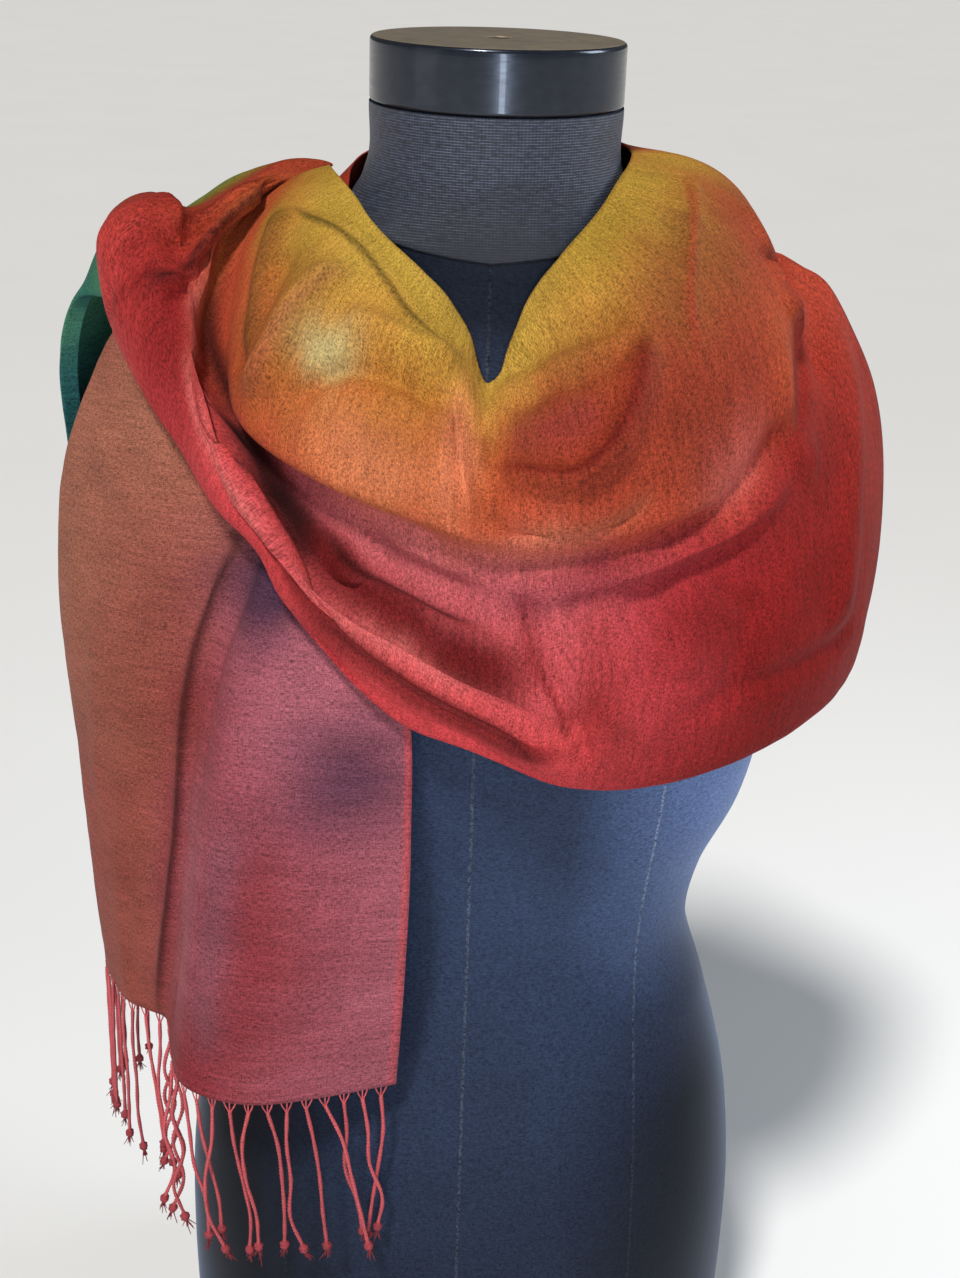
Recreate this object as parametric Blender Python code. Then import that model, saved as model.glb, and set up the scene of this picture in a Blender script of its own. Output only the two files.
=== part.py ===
"""A fringed shawl wound once round a limbless dress form. Metres, +Z up, the front faces -Y.

The cloth is one long strip. It hangs down the front over the form's right shoulder, goes round the
back of the neck, crosses the chest as a cowl and is thrown over the right shoulder and down the back.
Turn is the angle round the form: 0 over its left shoulder, 90 at the centre front, 180 over its right
shoulder on the outside, -90 at the centre back and -180 over the right shoulder underneath.
"""

import math

import bmesh
import bpy
import numpy as np
from mathutils import Vector
from mathutils.bvhtree import BVHTree

MM = 0.001

# Driving sizes
FORM_HEIGHT = 0.800
CAP_HEIGHT = 0.030
CAP_RADIUS = 0.061
CAP_EDGE = 0.0022
CAP_RECESS_RADIUS = 0.0066
CAP_RECESS_DEPTH = 0.005
SEAM_GAP = 0.0003
CLOTH_THICKNESS = 0.0015
FORM_CLEARANCE = 0.0014
LAYER_CLEARANCE = 0.0024
BESIDE = 0.003
HEM_RETURN = (-9.5, 8.5)
ROLL_SHARES = (0.2, 0.4, 0.6, 0.8)
FRINGE_PITCH = 0.0100
FRINGE_LENGTH = 0.098
STRAND_WIDTH = 0.0017
STRIP_HEIGHT = 0.0030

# Materials: colour, roughness, metallic
FORM_FABRIC = (0.020, 0.024, 0.036, 1.0), 0.62, 0.0
CAP_METAL = (0.045, 0.050, 0.065, 1.0), 0.22, 0.9
CLOTH_RED = (0.42, 0.065, 0.050, 1.0), 0.85, 0.0
CLOTH_RUST = (0.50, 0.150, 0.055, 1.0), 0.85, 0.0
CLOTH_MAROON = (0.30, 0.060, 0.065, 1.0), 0.85, 0.0
CLOTH_GREEN = (0.020, 0.130, 0.095, 1.0), 0.85, 0.0
FRINGE_RED = (0.45, 0.055, 0.065, 1.0), 0.80, 0.0
FRINGE_TEAL = (0.015, 0.110, 0.095, 1.0), 0.80, 0.0

# How the strands of a fringe hang: share of their length, share of their sway, thickness
STRAND_STEPS = (
    (0.33, 1.0, 0.85),
    (0.88, -1.0, 0.85),
    (0.94, -0.6, 1.9),
    (1.0, -0.4, 0.9),
)
STRAND_SWAY = 0.0032
STRAND_CLEARANCE = 0.003

# Sides and rings of the form, and steps between two sections of the cloth
FORM_SIDES = 40
FOOT_ROUNDING = (4, 0.975, 0.965)
TAIL_STEPS = 3
WRAP_SECTIONS = 25
COWL_SECTIONS = 37

# The form, in millimetres: height, half width, front depth, back depth, squareness
FORM_SECTIONS = (
    (0, 158.0, 110, 120, 2.3),
    (50, 160.5, 112, 122, 2.3),
    (110, 162.0, 114, 123, 2.3),
    (170, 160.5, 113, 119, 2.25),
    (230, 152.5, 108, 108, 2.2),
    (285, 137.5, 100, 93, 2.2),
    (335, 123.3, 94, 83, 2.2),
    (375, 129.5, 98, 82, 2.2),
    (417, 147.0, 108, 86, 2.2),
    (470, 156.0, 123, 93, 2.2),
    (520, 159.0, 129, 98, 2.2),
    (565, 162.0, 119, 102, 2.2),
    (605, 166.0, 101, 103, 2.2),
    (640, 170.0, 81, 99, 2.2),
    (668, 165.0, 68, 90, 2.2),
    (690, 146.0, 60, 81, 2.1),
    (704, 115.0, 57, 73, 2.05),
    (716, 86.0, 57, 66, 2.0),
    (728, 68.0, 57.5, 61.5, 2.0),
    (741, 61.5, 59.5, 60, 2.0),
    (770, 60.2, 60.0, 60.0, 2.0),
)

# How much lower the cloth lies towards the right shoulder, per metre across
SHOULDER_SLOPE = 0.030

# The cowl's upper roll, in millimetres: turn, neckline radius and height, bulge, nose radius and height
UPPER_ROLL = (
    (0, 66, 747, 16, 136, 701),
    (15, 66, 744, 24, 152, 665),
    (30, 66.5, 738, 29, 163, 636),
    (45, 68, 726, 28, 165, 618),
    (62, 67.5, 708, 22, 161, 609),
    (76, 69, 687, 17, 157, 604),
    (84, 78, 668, 14, 152, 602),
    (90, 88, 656, 13, 148, 602),
    (96, 75, 674, 14, 144, 605),
    (104, 69, 687, 14, 142, 610),
    (117, 69.5, 702, 14, 142, 618),
    (132, 73, 716, 16, 145, 629),
    (140, 74, 723, 17, 146, 637),
    (150, 74, 731, 15, 140, 653),
    (165, 79, 741, 5, 125, 709),
    (180, 82, 733, 1.5, 108, 728),
)

# Under the roll: turn, then radius and height of pocket, floor and valley
UNDER_ROLL = (
    (0, 145, 697, 154, 692, 167, 684),
    (30, 168, 626, 171, 615, 174, 604),
    (45, 163, 605, 161, 595, 164, 584),
    (60, 152, 596, 150, 585, 153, 573),
    (75, 143, 591, 142, 578, 143, 564),
    (90, 135, 590, 134, 574, 136, 558),
    (105, 127, 600, 127, 585, 129, 568),
    (120, 122, 607, 121, 597, 123, 583),
    (132, 127, 619, 124, 611, 126, 602),
    (140, 135, 631, 131, 625, 133, 617),
    (150, 138, 645, 143, 639, 149, 645),
    (157, 139, 668, 146, 665, 149, 674),
    (165, 134, 704, 133, 713, 126, 722),
    (172, 121, 719, 115, 726, 105, 733),
    (180, 113, 730, 104, 733.5, 92, 736),
)

# The lower band: turn, then radius and height of rise, crest, groove, outer, lip and edge
BAND = (
    (0, 181, 663, 196, 633, 205, 597, 209, 551, 207, 511, 202, 483),
    (30, 178, 588, 183, 565, 186, 542, 187, 520, 186, 500, 182, 482),
    (45, 167, 572, 174, 556, 178, 538, 179, 518, 177, 498, 172, 478),
    (60, 159, 561, 167, 548, 171, 532, 172, 515, 170, 497, 165, 477),
    (68, 156, 556, 164, 540, 167, 525, 168, 510, 167, 496, 162, 479),
    (76, 151, 550, 161, 524, 158, 506, 160, 498, 160, 490, 156, 482),
    (90, 147, 547, 158, 532, 150, 518, 153, 511, 154, 505, 151, 498),
    (105, 139, 560, 154, 550, 146, 537, 150, 529, 152, 521, 150, 513),
    (120, 132, 575, 151, 571, 146, 561, 150, 556, 153, 551, 153, 546),
    (132, 133, 598, 149, 607, 152, 602, 156, 598, 158, 593, 157, 587),
    (140, 142, 620, 151, 631, 157, 625, 161, 617, 163, 609, 161, 600),
    (150, 148, 661, 152, 670, 158, 665, 162, 655, 166, 642, 167, 625),
    (165, 117, 731, 127, 733, 150, 719, 170, 727, 189, 710, 185, 668),
    (172, 98, 737, 116, 736, 147, 720, 169, 727, 190, 711, 186, 669),
    (180, 79, 741, 104, 742, 146, 720, 169, 727, 191, 711, 187, 671),
)

# The wrap behind the neck: turn, then radius and height of collar, nape, blade, low and edge
NECK_WRAP = (
    (-180, 70, 738, 96, 719, 130, 704, 160, 688, 181, 659),
    (-135, 71, 746, 88, 712, 110, 680, 130, 634, 134, 586),
    (-90, 68, 752, 88, 719, 109, 657, 119, 594, 113, 524),
    (-45, 67, 750, 95, 722, 125, 656, 149, 582, 149, 504),
)

# The front tail: height, how much higher its back edge is, then x and y of selvedge, belly, curl,
# valley, side, outline and back edge
FRONT_TAIL = (
    (285, 0, -35, -115, -105, -134, -149, -115, -165, -60, -190, -42, -213, 8, -196, 54),
    (360, 0, -31, -125, -95, -134, -140, -117, -155, -72, -189, -50, -217, 2, -198, 50),
    (440, 0, -29, -131, -85, -132, -130, -116, -145, -78, -183, -60, -220, -5, -200, 45),
    (520, 0, -32, -134, -78, -128, -114, -118, -134, -84, -179, -68, -222, -12, -203, 40),
    (590, 0, -55, -106, -80, -102, -98, -96, -113, -86, -158, -68, -214, -16, -202, 28),
    (645, -6, -67, -80, -84, -77, -101, -73, -117, -67, -152, -52, -194, -16, -195, 10),
    (690, -34, -70, -56, -86, -54, -103, -50, -119, -45, -146, -34, -178, -18, -184, -6),
)

# The back tail: y and height of its middle, tilt, inner and outer x, pleat depth, share unfolded
BACK_TAIL = (
    (42, 709, 30, -66, -203, 3, 0.50),
    (84, 676, 60, -56, -219, 6, 0.85),
    (113, 622, 80, -44, -228, 7, 1.0),
    (127, 555, 90, -30, -226, 8, 1.0),
    (133, 470, 90, -14, -221, 9, 1.0),
    (135, 380, 90, 2, -214, 9, 1.0),
    (135, 300, 90, 16, -208, 9, 1.0),
)
BACK_PLEATS = 3.5
BACK_HEM_RETURN = (9, -5)
BACK_CURVE_RADIUS = 0.255
SHOULDER_LINE = 0.722
TAIL_STOPS = (0, 2, 4, 6, 8, 11, 15)

LINES = 16


def clear_scene():
    for obj in list(bpy.data.objects):
        bpy.data.objects.remove(obj)


def make_material(name, finish):
    colour, roughness, metallic = finish
    material = bpy.data.materials.new(name)
    material.use_nodes = True
    shader = material.node_tree.nodes["Principled BSDF"]
    shader.inputs["Base Color"].default_value = colour
    shader.inputs["Roughness"].default_value = roughness
    shader.inputs["Metallic"].default_value = metallic
    material.diffuse_color = colour
    return material


def add_object(name, points, faces, material, smooth_angle=50):
    mesh = bpy.data.meshes.new(name)
    mesh.from_pydata([tuple(p) for p in points], [], faces)
    mesh.validate()
    mesh.shade_smooth()
    mesh.set_sharp_from_angle(angle=math.radians(smooth_angle))
    obj = bpy.data.objects.new(name, mesh)
    obj.data.materials.append(material)
    bpy.context.scene.collection.objects.link(obj)
    return obj


def smooth_row(rows, at):
    """The row of a table at one value of its first column, on a smooth curve through its rows."""
    table = np.array(rows, float)
    key, values = table[:, 0], table[:, 1:]
    slope = np.gradient(values, key, axis=0)
    at = min(max(at, key[0]), key[-1])
    i = min(int(np.searchsorted(key, at, "right")) - 1, len(key) - 2)
    span = key[i + 1] - key[i]
    s = (at - key[i]) / span
    start = (2 * s**3 - 3 * s**2 + 1) * values[i] + (s**3 - 2 * s**2 + s) * span * slope[i]
    end = (3 * s**2 - 2 * s**3) * values[i + 1] + (s**3 - s**2) * span * slope[i + 1]
    return start + end


def curve_through(points, steps):
    """Points on a Catmull-Rom curve through the given points, with this many steps between two."""
    points = np.array(points, float)
    before = 2 * points[0] - points[1]
    after = 2 * points[-1] - points[-2]
    padded = np.vstack([before, points, after])
    made = []
    for i in range(1, len(padded) - 2):
        a, b, c, d = padded[i - 1 : i + 3]
        bend, twist = 2 * a - 5 * b + 4 * c - d, 3 * b - a - 3 * c + d
        for k in range(steps):
            s = k / steps
            made.append(b + 0.5 * ((c - a) * s + bend * s**2 + twist * s**3))
    made.append(padded[-2])
    return np.array(made)


def resampled(points, count):
    """The curve through these points as count points, evenly spaced along it."""
    fine = curve_through(points, 8)
    length = np.concatenate([[0], np.cumsum(np.linalg.norm(np.diff(fine, axis=0), axis=1))])
    at = np.linspace(0, length[-1], count)
    return np.stack([np.interp(at, length, fine[:, i]) for i in range(fine.shape[1])], axis=1)


def bulged(start, end, shares, heights):
    """Points between two (radius, height) points, each at its share of the way and standing out."""
    start, end = np.array(start, float), np.array(end, float)
    along = (end - start) / np.linalg.norm(end - start)
    outward = np.array([-along[1], along[0]])
    return [start + (end - start) * s + outward * h for s, h in zip(shares, heights)]


def round_the_form(turn, section):
    """A section of (radius, height) points in millimetres, set up at its turn, in metres."""
    angle = math.radians(turn)
    section = np.array(section, float) * MM
    x = section[:, 0] * math.cos(angle)
    y = -section[:, 0] * math.sin(angle)
    return np.stack([x, y, section[:, 1] + SHOULDER_SLOPE * x], axis=1)


def cowl_profile(turn):
    """The outer stretch's 16 fold lines at one turn, from the neckline to the turned hem."""
    neck_r, neck_z, bulge, nose_r, nose_z = smooth_row(UPPER_ROLL, turn)
    under_roll = smooth_row(UNDER_ROLL, turn).reshape(-1, 2)
    band = smooth_row(BAND, turn).reshape(-1, 2)
    neckline, nose = (neck_r, neck_z), (nose_r, nose_z)
    roll = bulged(neckline, nose, ROLL_SHARES, [4 * bulge * s * (1 - s) for s in ROLL_SHARES])
    return np.array([neckline, *roll, nose, *under_roll, *band, band[-1] + HEM_RETURN])


def cowl_section(turn):
    return round_the_form(turn, cowl_profile(turn))


def neck_wrap_section(turn):
    """The 16 lines of the stretch behind the neck. At turn 0 they are the cowl's own."""
    last_turn = NECK_WRAP[-1][0]
    named = smooth_row(NECK_WRAP, min(turn, last_turn)).reshape(-1, 2)
    section = resampled(named, LINES)
    if turn > last_turn:
        share = 1 - turn / last_turn
        share = share * share * (3 - 2 * share)
        section = section * (1 - share) + cowl_profile(0) * share
    return round_the_form(turn, section)


def front_tail_section(row):
    """The 16 lines across the front tail at one height."""
    height, back_rise = row[:2]
    named = np.array(row[2:], float).reshape(-1, 2)
    plan = curve_through(named, 8)
    at = np.interp(range(LINES), TAIL_STOPS, np.arange(len(TAIL_STOPS)) * 8)
    plan = np.stack([np.interp(at, np.arange(len(plan)), plan[:, i]) for i in range(2)], axis=1) * MM
    rise = back_rise * np.linspace(0, 1, LINES) ** 2
    return np.column_stack([plan, (height + rise) * MM + SHOULDER_SLOPE * plan[:, 0]])


def back_tail_section(row):
    """The back tail at one place: the folded shoulder section opens into soft pleats."""
    y, z, tilt, inner, outer, depth, unfolded = row
    folded = curve_through(cowl_section(180), 2)
    columns = len(folded)
    share = np.clip(np.arange(columns) / (columns - 3), 0, 1)
    turned = np.clip(np.arange(columns) - (columns - 3), 0, 2) / 2
    folded_x = folded[:, 0] + (outer * MM - folded[:, 0].min()) * share
    open_x = (inner + (outer - inner) * share + BACK_HEM_RETURN[0] * turned) * MM
    x = folded_x * (1 - unfolded) + open_x * unfolded
    rise = (folded[:, 2] - SHOULDER_LINE) * (1 - unfolded**2)
    pleat = (depth * np.cos(2 * math.pi * BACK_PLEATS * share) + BACK_HEM_RETURN[1] * turned) * MM * unfolded
    wrap = np.sqrt(1 - np.clip(np.abs(x) / BACK_CURVE_RADIUS, 0, 0.95) ** 2)
    outward, upward = math.sin(math.radians(tilt)), math.cos(math.radians(tilt))
    return np.stack([x, y * MM * wrap + pleat * outward, z * MM + rise + pleat * upward], axis=1)


def between(first, last, count):
    return [first + (last - first) * i / (count - 1) for i in range(count)]


def along_the_strip(sections, steps):
    """Extra sections between the given ones, so that every fold line is a smooth curve."""
    lines = [curve_through([s[k] for s in sections], steps) for k in range(len(sections[0]))]
    return [np.array([line[i] for line in lines]) for i in range(len(lines[0]))]


def widened(sections, steps):
    """Each section as a smooth curve through its fold lines."""
    return np.array([curve_through(s, steps) for s in sections])


def grid_faces(rows, columns):
    return [
        (i * columns + j, i * columns + j + 1, (i + 1) * columns + j + 1, (i + 1) * columns + j)
        for i in range(rows - 1)
        for j in range(columns - 1)
    ]


def grid_normals(grid):
    """At each point the mean normal of the faces round it."""
    normals = np.cross(grid[1:, 1:] - grid[:-1, :-1], grid[1:, :-1] - grid[:-1, 1:])
    normals /= np.linalg.norm(normals, axis=2)[:, :, None]
    total = np.zeros(grid.shape)
    for rows in (slice(0, -1), slice(1, None)):
        for columns in (slice(0, -1), slice(1, None)):
            total[rows, columns] += normals
    return total / np.linalg.norm(total, axis=2)[:, :, None]


def tree_of(grid):
    rows, columns = grid.shape[:2]
    return BVHTree.FromPolygons([Vector(p) for p in grid.reshape(-1, 3)], grid_faces(rows, columns))


def kept_clear(grid, tree, clearance, reach=0.03, rounds=4):
    """The grid moved out so that its corners, edges and faces keep this distance from a surface."""
    grid = grid.copy()
    rows, columns = grid.shape[:2]
    for _ in range(rounds):
        push = np.zeros((rows, columns, 3))
        for i in range(2 * rows - 1):
            for j in range(2 * columns - 1):
                near = [(a, b) for a in {i // 2, (i + 1) // 2} for b in {j // 2, (j + 1) // 2}]
                point = Vector(sum(grid[a, b] for a, b in near) / len(near))
                place, normal, _, _ = tree.find_nearest(point, reach)
                if place is None:
                    continue
                side = (point - place).dot(normal)
                beside = (point - place - normal * side).length
                if side >= clearance or beside > BESIDE:
                    continue
                needed = np.array(normal) * (clearance - side)
                for a, b in near:
                    if np.linalg.norm(needed) > np.linalg.norm(push[a, b]):
                        push[a, b] = needed
        grid += push
    return grid


def wall(name, grid, material, first_seam=0, last_seam=0):
    """A closed wall of the cloth's thickness on both sides of the grid.

    A seam lies in the level Y = 0 over a shoulder: -1 or 1 says on which side of it this piece is.
    """
    rows, columns = grid.shape[:2]
    grid = grid.copy()
    normals = grid_normals(grid)
    for row, side in ((0, first_seam), (rows - 1, last_seam)):
        if side:
            grid[row, :, 1] = side * SEAM_GAP / 2
            normals[row, :, 1] = 0
            normals[row] /= np.linalg.norm(normals[row], axis=1)[:, None]
    offset = normals * CLOTH_THICKNESS / 2
    points = np.concatenate([(grid + offset).reshape(-1, 3), (grid - offset).reshape(-1, 3)])
    count = rows * columns
    flat = grid.reshape(-1, 3)
    faces = []
    for a, b, c, d in grid_faces(rows, columns):
        if np.linalg.norm(flat[a] - flat[c]) < np.linalg.norm(flat[b] - flat[d]):
            faces += [(a, b, c), (a, c, d)]
        else:
            faces += [(a, b, d), (b, c, d)]
    faces += [tuple(v + count for v in reversed(face)) for face in faces]
    border = [(i, 0) for i in range(rows)]
    border += [(rows - 1, j) for j in range(1, columns)]
    border += [(i, columns - 1) for i in range(rows - 2, -1, -1)]
    border += [(0, j) for j in range(columns - 2, 0, -1)]
    ring = [i * columns + j for i, j in border]
    for a, b in zip(ring, ring[1:] + ring[:1]):
        faces.append((a, b, b + count, a + count))
    return add_object(name, points, faces, material)


def form_ring(height, sides):
    """One level section of the form, as points in metres."""
    half_width, front, back, square = smooth_row(FORM_SECTIONS, height)
    ring = []
    for i in range(sides):
        angle = 2 * math.pi * i / sides
        c, s = math.cos(angle), math.sin(angle)
        depth = back if s > 0 else front
        x = half_width * math.copysign(abs(c) ** (2 / square), c)
        y = depth * math.copysign(abs(s) ** (2 / square), s)
        ring.append((x * MM, y * MM, height * MM))
    return ring


def lofted(name, rings, material):
    """A closed solid through level rings, with flat ends."""
    sides = len(rings[0])
    points = [p for ring in rings for p in ring]
    faces = []
    for i in range(len(rings) - 1):
        for j in range(sides):
            k = (j + 1) % sides
            faces.append((i * sides + j, i * sides + k, (i + 1) * sides + k, (i + 1) * sides + j))
    last = (len(rings) - 1) * sides
    faces.append(tuple(range(sides - 1, -1, -1)))
    faces.append(tuple(last + j for j in range(sides)))
    return add_object(name, points, faces, material)


def make_torso(material):
    rounding, narrower, flatter = FOOT_ROUNDING
    named = [row[0] for row in FORM_SECTIONS]
    heights = [rounding, named[1] / 2]
    for low, high in zip(named[1:], named[2:]):
        heights += [low, (low + high) / 2]
    heights.append((FORM_HEIGHT - CAP_HEIGHT) / MM)
    rings = [form_ring(h, FORM_SIDES) for h in heights]
    foot = [(x * narrower, y * flatter, 0.0) for x, y, _ in rings[0]]
    return lofted("form_torso", [foot, *rings], material)


def make_cap(material):
    bottom = FORM_HEIGHT - CAP_HEIGHT + SEAM_GAP
    profile = [
        (CAP_RADIUS - CAP_EDGE, bottom),
        (CAP_RADIUS, bottom + CAP_EDGE),
        (CAP_RADIUS, FORM_HEIGHT - CAP_EDGE),
        (CAP_RADIUS - 0.3 * CAP_EDGE, FORM_HEIGHT - 0.3 * CAP_EDGE),
        (CAP_RADIUS - CAP_EDGE, FORM_HEIGHT),
        (CAP_RECESS_RADIUS, FORM_HEIGHT),
        (CAP_RECESS_RADIUS, FORM_HEIGHT - CAP_RECESS_DEPTH),
    ]
    rings = []
    for radius, height in profile:
        turns = [2 * math.pi * i / FORM_SIDES for i in range(FORM_SIDES)]
        rings.append([(radius * math.cos(a), radius * math.sin(a), height) for a in turns])
    return lofted("form_neck_cap", rings, material)


def make_fringe(name, hem, lean, material, form_tree, seed):
    """A narrow strip under the hem with strands drawn out of its lower face."""
    chance = np.random.default_rng(seed)
    fine = curve_through(hem, 6)
    length = np.concatenate([[0], np.cumsum(np.linalg.norm(np.diff(fine, axis=0), axis=1))])
    count = int(length[-1] / FRINGE_PITCH)
    margin = (length[-1] - (count - 1) * FRINGE_PITCH) / 2
    stops = [0.0]
    for i in range(count):
        middle = margin + i * FRINGE_PITCH
        stops += [middle - STRAND_WIDTH / 2, middle + STRAND_WIDTH / 2]
    stops.append(length[-1])
    line = np.stack([np.interp(stops, length, fine[:, i]) for i in range(3)], axis=1)
    way = np.gradient(line, axis=0)
    side = np.stack([way[:, 1], -way[:, 0], np.zeros(len(way))], axis=1)
    side /= np.linalg.norm(side, axis=1)[:, None]
    half = CLOTH_THICKNESS / 2
    top = line - np.array([0, 0, SEAM_GAP])
    low = top - np.array([0, 0, STRIP_HEIGHT])
    points = np.concatenate([top + side * half, low + side * half, low - side * half, top - side * half])
    n = len(line)
    faces = []
    for i in range(n - 1):
        for k in range(4):
            a, b = k * n, ((k + 1) % 4) * n
            faces.append((a + i, a + i + 1, b + i + 1, b + i))
    faces.append((0, n, 2 * n, 3 * n))
    faces.append((4 * n - 1, 3 * n - 1, 2 * n - 1, n - 1))
    mesh = bpy.data.meshes.new(name)
    mesh.from_pydata([tuple(p) for p in points], [], faces)
    shape = bmesh.new()
    shape.from_mesh(mesh)
    bmesh.ops.recalc_face_normals(shape, faces=shape.faces)
    shape.faces.ensure_lookup_table()
    roots = [shape.faces[4 * (2 * i + 1) + 1] for i in range(count)]
    for root in roots:
        drawn_strand(shape, root, lean, chance, form_tree)
    bmesh.ops.recalc_face_normals(shape, faces=shape.faces)
    shape.to_mesh(mesh)
    shape.free()
    obj = bpy.data.objects.new(name, mesh)
    obj.data.materials.append(material)
    bpy.context.scene.collection.objects.link(obj)
    return obj


def drawn_strand(shape, root, lean, chance, form_tree):
    """One strand of four sides: it sways down from its root and ends in a small knot."""
    start = root.calc_center_median()
    length = FRINGE_LENGTH * chance.uniform(0.92, 1.04)
    sway = chance.uniform(-STRAND_SWAY, STRAND_SWAY)
    face = root
    corners = [v.co - start for v in root.verts]
    for share, swayed, size in STRAND_STEPS:
        made = bmesh.ops.extrude_discrete_faces(shape, faces=[face])
        face = made["faces"][0]
        middle = start + Vector((sway * swayed + lean * share, 0, -length * share))
        place, normal, _, _ = form_tree.find_nearest(middle, 0.03)
        if place is not None:
            stand = (middle - place).dot(normal)
            middle += normal * max(0.0, STRAND_CLEARANCE - stand)
        for vertex, corner in zip(face.verts, corners):
            vertex.co = middle + corner * size


def main():
    clear_scene()
    fabric = make_material("form_fabric", FORM_FABRIC)
    metal = make_material("form_cap", CAP_METAL)
    red = make_material("shawl_red", CLOTH_RED)
    rust = make_material("shawl_rust", CLOTH_RUST)
    maroon = make_material("shawl_maroon", CLOTH_MAROON)
    green = make_material("shawl_green", CLOTH_GREEN)
    fringe_red = make_material("fringe_red", FRINGE_RED)
    fringe_teal = make_material("fringe_teal", FRINGE_TEAL)

    torso = make_torso(fabric)
    make_cap(metal)
    bpy.context.view_layer.update()
    form_tree = BVHTree.FromObject(torso, bpy.context.evaluated_depsgraph_get())
    half = CLOTH_THICKNESS / 2

    front = [front_tail_section(row) for row in FRONT_TAIL]
    over_shoulder = [neck_wrap_section(-180), neck_wrap_section(-165)]
    tail = along_the_strip(front + over_shoulder, TAIL_STEPS)
    tail = np.array(tail[: TAIL_STEPS * len(front) + 1])
    tail = kept_clear(tail, form_tree, FORM_CLEARANCE + half)
    wrap = np.array([neck_wrap_section(t) for t in between(-180, 0, WRAP_SECTIONS)])
    wrap = kept_clear(wrap, form_tree, FORM_CLEARANCE + half)
    tail[-1] = wrap[0]
    inner_tree = tree_of(np.concatenate([tail, wrap[1:]])[:, ::-1])
    inner_half = tree_of(np.concatenate([tail, wrap[1 : len(wrap) // 2]])[:, ::-1])

    cowl = widened([cowl_section(t) for t in between(0, 180, COWL_SECTIONS)], 2)
    cowl = kept_clear(cowl, form_tree, FORM_CLEARANCE + half)
    cowl = kept_clear(cowl, inner_half, LAYER_CLEARANCE, 0.012)
    cowl[0] = curve_through(wrap[-1], 2)

    shoulder = [curve_through(cowl_section(t), 2) for t in (165, 180)]
    back = [back_tail_section(row) for row in BACK_TAIL]
    back_tail = np.array(along_the_strip(shoulder + back, TAIL_STEPS)[TAIL_STEPS:])
    back_tail = kept_clear(back_tail, form_tree, FORM_CLEARANCE + half)
    back_tail = kept_clear(back_tail, inner_tree, LAYER_CLEARANCE, 0.02)
    back_tail[0] = cowl[-1]

    wall("front_tail", tail, maroon, last_seam=-1)
    wall("neck_wrap", wrap, rust, first_seam=1, last_seam=1)
    wall("front_cowl", cowl, red, first_seam=-1, last_seam=-1)
    wall("back_tail", back_tail, green, first_seam=1)
    make_fringe("front_fringe", tail[0], 0.002, fringe_red, form_tree, 4)
    make_fringe("back_fringe", back_tail[-1, :-2], 0.0, fringe_teal, form_tree, 9)


main()
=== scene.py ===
import math

import bpy
import numpy as np
from mathutils import Euler, Matrix, Vector, noise
from mathutils.bvhtree import BVHTree


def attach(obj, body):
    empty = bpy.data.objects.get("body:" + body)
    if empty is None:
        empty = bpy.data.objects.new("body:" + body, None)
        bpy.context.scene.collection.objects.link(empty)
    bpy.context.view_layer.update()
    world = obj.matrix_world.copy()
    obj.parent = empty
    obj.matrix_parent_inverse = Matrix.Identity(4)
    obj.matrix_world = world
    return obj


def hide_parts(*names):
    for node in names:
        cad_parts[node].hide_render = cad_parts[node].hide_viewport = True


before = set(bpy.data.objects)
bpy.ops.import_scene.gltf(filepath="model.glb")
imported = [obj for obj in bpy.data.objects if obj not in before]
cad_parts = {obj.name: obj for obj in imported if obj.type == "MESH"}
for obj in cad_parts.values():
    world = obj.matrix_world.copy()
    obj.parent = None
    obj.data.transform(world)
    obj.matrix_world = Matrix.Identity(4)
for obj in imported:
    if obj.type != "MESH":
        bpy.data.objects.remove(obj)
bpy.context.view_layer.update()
mm = 0.001
print("frame loaded")


# small tools for rows, curves and grids

def smoothRow(rows, at):
    # a table's row at one value of its first column, on a smooth curve through the rows
    table = np.array(rows, float)
    key, values = table[:, 0], table[:, 1:]
    slope = np.gradient(values, key, axis=0)
    at = min(max(at, key[0]), key[-1])
    i = min(int(np.searchsorted(key, at, "right")) - 1, len(key) - 2)
    span = key[i + 1] - key[i]
    s = (at - key[i]) / span
    start = (2 * s**3 - 3 * s**2 + 1) * values[i] + (s**3 - 2 * s**2 + s) * span * slope[i]
    return start + (3 * s**2 - 2 * s**3) * values[i + 1] + (s**3 - s**2) * span * slope[i + 1]


def curveThrough(points, steps):
    # Catmull-Rom through all the points at once: works on rows of points too
    points = np.array(points, float)
    padded = np.concatenate([[2 * points[0] - points[1]], points, [2 * points[-1] - points[-2]]])
    made = []
    for i in range(1, len(padded) - 2):
        a, b, c, d = padded[i - 1:i + 3]
        bend, twist = 2 * a - 5 * b + 4 * c - d, 3 * b - a - 3 * c + d
        for k in range(steps):
            s = k / steps
            made.append(b + 0.5 * ((c - a) * s + bend * s**2 + twist * s**3))
    return np.array(made + [padded[-2]])


def easing(s):
    s = np.clip(s, 0, 1)
    return s * s * (3 - 2 * s)


def gridNormals(grid):
    normals = np.cross(grid[1:, 1:] - grid[:-1, :-1], grid[1:, :-1] - grid[:-1, 1:])
    normals /= np.linalg.norm(normals, axis=2)[:, :, None] + 1e-12
    total = np.zeros(grid.shape)
    for rows in (slice(0, -1), slice(1, None)):
        for columns in (slice(0, -1), slice(1, None)):
            total[rows, columns] += normals
    return total / np.linalg.norm(total, axis=2)[:, :, None]


def gridFaces(rows, columns):
    first = (np.arange(rows - 1)[:, None] * columns + np.arange(columns - 1)).ravel()
    return np.stack([first, first + 1, first + columns + 1, first + columns], axis=1)


def treeOf(grid):
    return BVHTree.FromPolygons(grid.reshape(-1, 3).tolist(), gridFaces(*grid.shape[:2]).tolist())


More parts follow.
